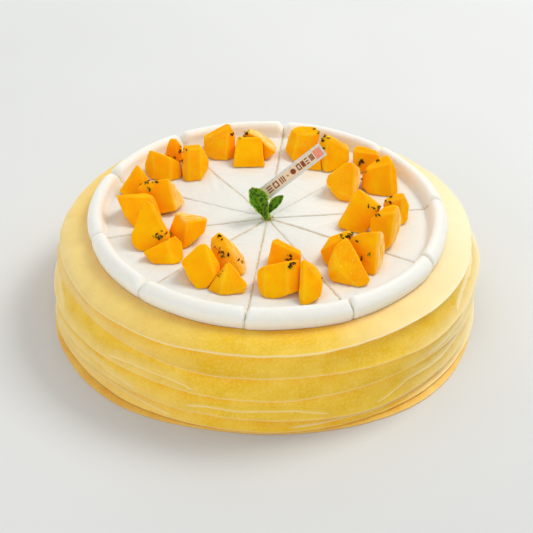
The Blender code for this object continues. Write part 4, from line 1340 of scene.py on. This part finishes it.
def add_leaf(name, base, tip, width, broadest, lift, fold, roll, solids):
    base, tip = Vector(base) * MM, Vector(tip) * MM
    along = (tip - base).normalized()
    out = (FACING - FACING.dot(along) * along).normalized()
    out = Matrix.Rotation(math.radians(roll), 3, along) @ out
    across = along.cross(out)
    sheets, vein_and_rim_values, inside = [], [], []
    for sheet in (1, -1):
        for step in range(LEAF_ALONG + 1):
            u = step / LEAF_ALONG
            tooth = 1 - 0.3 * ((u * TEETH) % 1.0)
            half = width * MM / 2 * leaf_half_width(u, broadest)
            for place_across in range(LEAF_ACROSS + 1):
                v = 2 * place_across / LEAF_ACROSS - 1
                reach = half * v * (tooth if abs(v) > 0.86 else 1.0)
                phase = (u * VEINS - abs(v) * 1.6) % 1.0
                side_vein = max(0.0, 1 - abs(phase - 0.5) / 0.12) * (1 - abs(v)) ** 0.3
                midrib = max(0.0, 1 - abs(v) / 0.09)
                # the leaf's rim gets a painted highlight
                lit_rim = max(0.0, abs(v) - 0.72) / 0.28
                quilt = QUILT * abs(math.sin(math.pi * phase + math.pi / 2)) * min(1.0, abs(v) * 4)
                bow = lift * MM * math.sin(math.pi * u) + fold * abs(reach) - quilt * (0.5 - abs(v) / 2)
                curl = 0.12 * width * MM * max(0.0, abs(v) - 0.6) * math.sin(u * TEETH * 2.1 + v * 3)
                thin = LEAF_SHEET / 2 * sheet * (1 if abs(v) < 0.99 and 0 < step < LEAF_ALONG else 0)
                jagged = u * (1 + 0.09 * (v * TEETH / 3 % 1.0) * max(0.0, u - 0.8) / 0.2)
                point = base.lerp(tip, jagged) + across * reach + out * (bow + curl + thin - 0.2 * MM * midrib)
                sheets.append(point)
                vein_and_rim_values.append(max(side_vein * 0.35, midrib * 0.5, lit_rim))
                # painted shade inside the fold, less towards the tip
                inside.append((1 - lit_rim) * max(0.0, sheet) * (1 - 0.4 * u))
    row, half_count = LEAF_ACROSS + 1, (LEAF_ALONG + 1) * (LEAF_ACROSS + 1)
    faces = []
    for step in range(LEAF_ALONG):
        for place_across in range(LEAF_ACROSS):
            a = step * row + place_across
            faces.append((a, a + row, a + row + 1, a + 1))
            faces.append(tuple(half_count + i for i in (a + 1, a + row + 1, a + row, a)))
    piece = add_piece(name, sheets, faces, FRESH_MINT, "mint", solids, 60, vein=vein_and_rim_values, inside=inside)
    shell = bmesh.new()
    shell.from_mesh(piece.data)
    bmesh.ops.remove_doubles(shell, verts=shell.verts, dist=0.001 * MM)
    bmesh.ops.recalc_face_normals(shell, faces=shell.faces)
    shell.to_mesh(piece.data)
    shell.free()


for leaf in LEAVES:
    add_leaf(*leaf)

# %% [markdown]
# The stalk is cut short and stuck in the middle, where the ten points of cream meet. It is square in
# section, as mint stalks are, and swells where the leaves spring from it.

# %% Mint stalk
STALK_SIDES = 16
STALK_LEVELS = ((43.4, 1.0), (46.0, 1.0), (47.2, 1.25), (48.4, 1.05), (49.2, 0.6))


def add_stalk():
    rows = []
    turns = np.arange(STALK_SIDES) * math.tau / STALK_SIDES
    for height, radius in STALK_LEVELS:
        square = 1 + 0.12 * np.cos(4 * turns)
        rows.append(polar(radius * MM * square, turns, height * MM + 0 * turns))
    verts, faces = skin(rows, closed=True)
    faces += [tuple(range(STALK_SIDES)), tuple(range(len(verts) - 1, len(verts) - STALK_SIDES - 1, -1))]
    add_piece("mint_stalk", verts, faces, FRESH_MINT, "mint", ["mint_stem"],
              vein=[0.5] * len(verts), inside=[0.0] * len(verts))


add_stalk()

# %% [markdown]
# ## The card
# A small stiff card on a spike leans back out of the mint. The card is a thin rounded plate, printed
# with a pale border, a beige field, a few plain brown marks and a coral square. The print is thin
# plates a few hundredths of a millimetre proud, because flat shapes need no image and stay sharp.

# %% Finishes: coated card in four inks
def card_ink(name, dark, light):
    finish, shader = new_finish(name, Roughness=0.45, IOR=1.5, Specular_IOR_Level=0.4)
    place = add_node(finish, "ShaderNodeTexCoord").outputs["Object"]
    fibre = add_node(finish, "ShaderNodeTexNoise", {"Vector": place, "Scale": blotches(0.9), "Detail": 2.0})
    colour = add_node(
        finish, "ShaderNodeValToRGB", {"Fac": fibre.outputs["Fac"]}, stops=((0.3, dark), (0.7, light))
    )
    finish.node_tree.links.new(colour.outputs["Color"], shader.inputs["Base Color"])
    return finish


CARD_INKS = {
    "border": card_ink("coated card, unprinted border", "#c6cfcf", "#dde2e1"),
    "field": card_ink("coated card, beige ink", "#e3cba6", "#efdcbc"),
    "marks": card_ink("coated card, brown ink", "#7b3512", "#a4592f"),
    "seal": card_ink("coated card, coral ink", "#e58a6c", "#f2a285"),
}

# %% The card's plate, spike and print
CARD_FOOT, CARD_TIP = Vector((-4.2, 6.4, 52.8)) * MM, Vector((24.9, 17.6, 73.4)) * MM
CARD_WIDTH = 6.6 * MM
CARD_PLATE = 0.6 * MM
SPIKE = ((-3.2, 6.6, 46.4, 0.5), (-3.4, 6.4, 52.4, 0.6), (-2.2, 7.1, 55.0, 0.55))  # x, y, z, radius
CARD_ALONG = (CARD_TIP - CARD_FOOT).normalized()
CARD_OUT = (FACING - FACING.dot(CARD_ALONG) * CARD_ALONG).normalized()
CARD_ACROSS = CARD_ALONG.cross(CARD_OUT)
CARD_LENGTH = (CARD_TIP - CARD_FOOT).length
PRINT_PROUD = 0.06 * MM
CARD_MARKS = (
    # along the card in mm, what is printed there, and its length along the card in mm
    (2.4, "rungs", 2.6), (6.6, "rails", 2.7), (10.1, "box", 2.6), (13.8, "rungs", 2.6), (17.0, "disc", 0.8),
    (20.1, "disc", 2.7), (23.5, "box", 2.0), (25.9, "rungs", 1.7), (28.1, "rails", 1.8), (30.9, "rungs", 2.0),
)
MARK_WIDTH, BAR = 3.0 * MM, 0.55 * MM


def plate(middle, length, width, bottom, top, corner):
    """A plate with rounded corners on the card, placed along and across it in metres."""
    outline = []
    for turn, sign_a, sign_c in ((0, 1, 1), (90, -1, 1), (180, -1, -1), (270, 1, -1)):
        for step in range(5):
            angle = math.radians(turn + step * 90 / 4)
            outline.append((middle[0] + sign_a * (length / 2 - corner) + corner * math.cos(angle),
                            middle[1] + sign_c * (width / 2 - corner) + corner * math.sin(angle)))
    verts = [CARD_FOOT + CARD_ALONG * a + CARD_ACROSS * c + CARD_OUT * level
             for level in (bottom, top) for a, c in outline]
    count = len(outline)
    faces = [tuple(range(count)), tuple(range(2 * count - 1, count - 1, -1))]
    faces += [(i, (i + 1) % count, (i + 1) % count + count, i + count) for i in range(count)]
    return verts, faces


def join(parts):
    verts, faces = [], []
    for points, sides in parts:
        first = len(verts)
        verts += points
        faces += [tuple(first + corner for corner in side) for side in sides]
    return verts, faces


def spike():
    rows = []
    turns = np.arange(10) * math.tau / 10
    for x, y, z, radius in SPIKE:
        rows.append(polar(radius * MM, turns, z * MM + 0 * turns) + np.array((x * MM, y * MM, 0)))
    verts, faces = skin(rows, closed=True)
    faces += [tuple(range(10)), tuple(range(len(verts) - 1, len(verts) - 11, -1))]
    return [Vector(v) for v in verts], faces


def add_card():
    surface = CARD_PLATE / 2
    whole = plate((CARD_LENGTH / 2, 0), CARD_LENGTH, CARD_WIDTH, -surface, surface, 0.7 * MM)
    verts, faces = join([whole, spike()])
    add_piece("card_on_spike", verts, faces, CARD_INKS["border"], "pick_card", ["pick"], 30)
    field = plate((CARD_LENGTH / 2, 0), CARD_LENGTH - 2 * MM, CARD_WIDTH - 1.7 * MM,
                  surface, surface + PRINT_PROUD, 0.2 * MM)
    add_piece("card_field", *field, CARD_INKS["field"], "pick_card", smooth_below=30)
    level = surface + PRINT_PROUD
    marks = []
    for at, kind, length in CARD_MARKS:
        at, length = at * MM, length * MM
        side, end = (MARK_WIDTH - BAR) / 2, (length - BAR) / 2
        rails = [((at, place), length, BAR) for place in (-side, 0, side)]
        rungs = [((at + place, 0), BAR, MARK_WIDTH) for place in (-end, 0, end)]
        bars = {"rails": rails, "rungs": rungs, "box": [rails[0], rails[2], rungs[0], rungs[2]], "disc": []}[kind]
        marks += [plate(spot, *size, level, level + PRINT_PROUD, 0.1 * MM) for spot, *size in bars]
        if kind == "disc":
            marks.append(plate((at, 0), length, length, level, level + PRINT_PROUD, length / 2.01))
    add_piece("card_marks", *join(marks), CARD_INKS["marks"], "pick_card", smooth_below=30)
    seal = plate((CARD_LENGTH - 2.9 * MM, 0.2 * MM), 3.9 * MM, 4.4 * MM, level, level + PRINT_PROUD, 0.3 * MM)
    add_piece("card_seal", *seal, CARD_INKS["seal"], "pick_card", smooth_below=30)


add_card()

# %% [markdown]
# ## Floor, light and camera
# A pale floor, a large soft window behind on the right and a bright even room. The window is low
# enough to brush the right side of the cake and to throw the fruit's shadows forwards and left.

# %% Floor
FLOOR_SIZE = 4.0


def add_floor():
    finish, shader = new_finish("painted studio floor", Roughness=0.7, Specular_IOR_Level=0.2)
    place = add_node(finish, "ShaderNodeTexCoord").outputs["Object"]
    haze = add_node(finish, "ShaderNodeTexNoise", {"Vector": place, "Scale": blotches(180)}).outputs["Fac"]
    colour = add_node(
        finish, "ShaderNodeValToRGB", {"Fac": haze}, stops=((0.3, "#d9dad8"), (0.7, "#dddedc"))
    ).outputs["Color"]
    finish.node_tree.links.new(colour, shader.inputs["Base Color"])
    half = FLOOR_SIZE / 2
    mesh = bpy.data.meshes.new("floor")
    mesh.from_pydata([(-half, -half, 0), (half, -half, 0), (half, half, 0), (-half, half, 0)], [], [(0, 1, 2, 3)])
    mesh.materials.append(finish)
    floor = bpy.data.objects.new("floor", mesh)
    bpy.context.scene.collection.objects.link(floor)


add_floor()

# %% Window light, fill and room
WINDOW_DISTANCE = 1.1
WINDOW_BEARING = math.radians(122)
WINDOW_ELEVATION = math.radians(54)
WINDOW_SIZE = 0.45
WINDOW_POWER = 6.3
FILLS = (
    # name, bearing and elevation in degrees, power in watts
    ("fill on the right", -24, 12, 7.0), ("fill on the left", 206, 6, 13.0),
)
ROOM_STRENGTH = 0.66


def add_area(name, distance, bearing, elevation, size, power, hex_colour):
    """A square light that looks at the middle of the cake."""
    light = bpy.data.lights.new(name, "AREA")
    light.shape = "SQUARE"
    light.size = size
    light.energy = power
    light.color = linear(hex_colour)[:3]
    lamp = bpy.data.objects.new(name, light)
    bpy.context.scene.collection.objects.link(lamp)
    spot = polar(distance * math.cos(elevation), bearing, distance * math.sin(elevation))
    lamp.location = Vector(spot)
    lamp.rotation_euler = (Vector((0, 0, 0.03)) - lamp.location).to_track_quat("-Z", "Y").to_euler()
    return lamp


add_area("window", WINDOW_DISTANCE, WINDOW_BEARING, WINDOW_ELEVATION, WINDOW_SIZE, WINDOW_POWER, "#fffdf8")
for name, bearing, elevation, power in FILLS:
    fill = add_area(name, 1.4, math.radians(bearing), math.radians(elevation), 1.0, power, "#ffffff")
    fill.visible_glossy = False
world = bpy.data.worlds.new("bright room")
world.use_nodes = True
world.node_tree.nodes["Background"].inputs["Color"].default_value = linear("#f4f6fa")
world.node_tree.nodes["Background"].inputs["Strength"].default_value = ROOM_STRENGTH
world.cycles_visibility.glossy = False
bpy.context.scene.world = world
bpy.context.scene.view_settings.view_transform = "Standard"

# %% Camera
CAMERA_DISTANCE = 0.720
CAMERA_ELEVATION = math.radians(36.3)
CAMERA_DIP = math.radians(35.1)
CAMERA_ROLL = math.radians(1.2)
CAMERA_LENS = 100.9                # mm on a 36 mm sensor


def add_camera():
    eye = bpy.data.cameras.new("camera")
    eye.sensor_width = 36.0
    eye.lens = CAMERA_LENS
    camera = bpy.data.objects.new("camera", eye)
    bpy.context.scene.collection.objects.link(camera)
    forward = Vector((0, math.cos(CAMERA_DIP), -math.sin(CAMERA_DIP)))
    right, up = Vector((1, 0, 0)), Vector((1, 0, 0)).cross(forward)
    turned_right = math.cos(CAMERA_ROLL) * right + math.sin(CAMERA_ROLL) * up
    turned_up = -math.sin(CAMERA_ROLL) * right + math.cos(CAMERA_ROLL) * up
    frame_axes = Matrix((turned_right, turned_up, -forward)).transposed()
    place = Vector((0, -math.cos(CAMERA_ELEVATION), math.sin(CAMERA_ELEVATION))) * CAMERA_DISTANCE
    camera.matrix_world = Matrix.Translation(place) @ frame_axes.to_4x4()
    bpy.context.scene.camera = camera


add_camera()
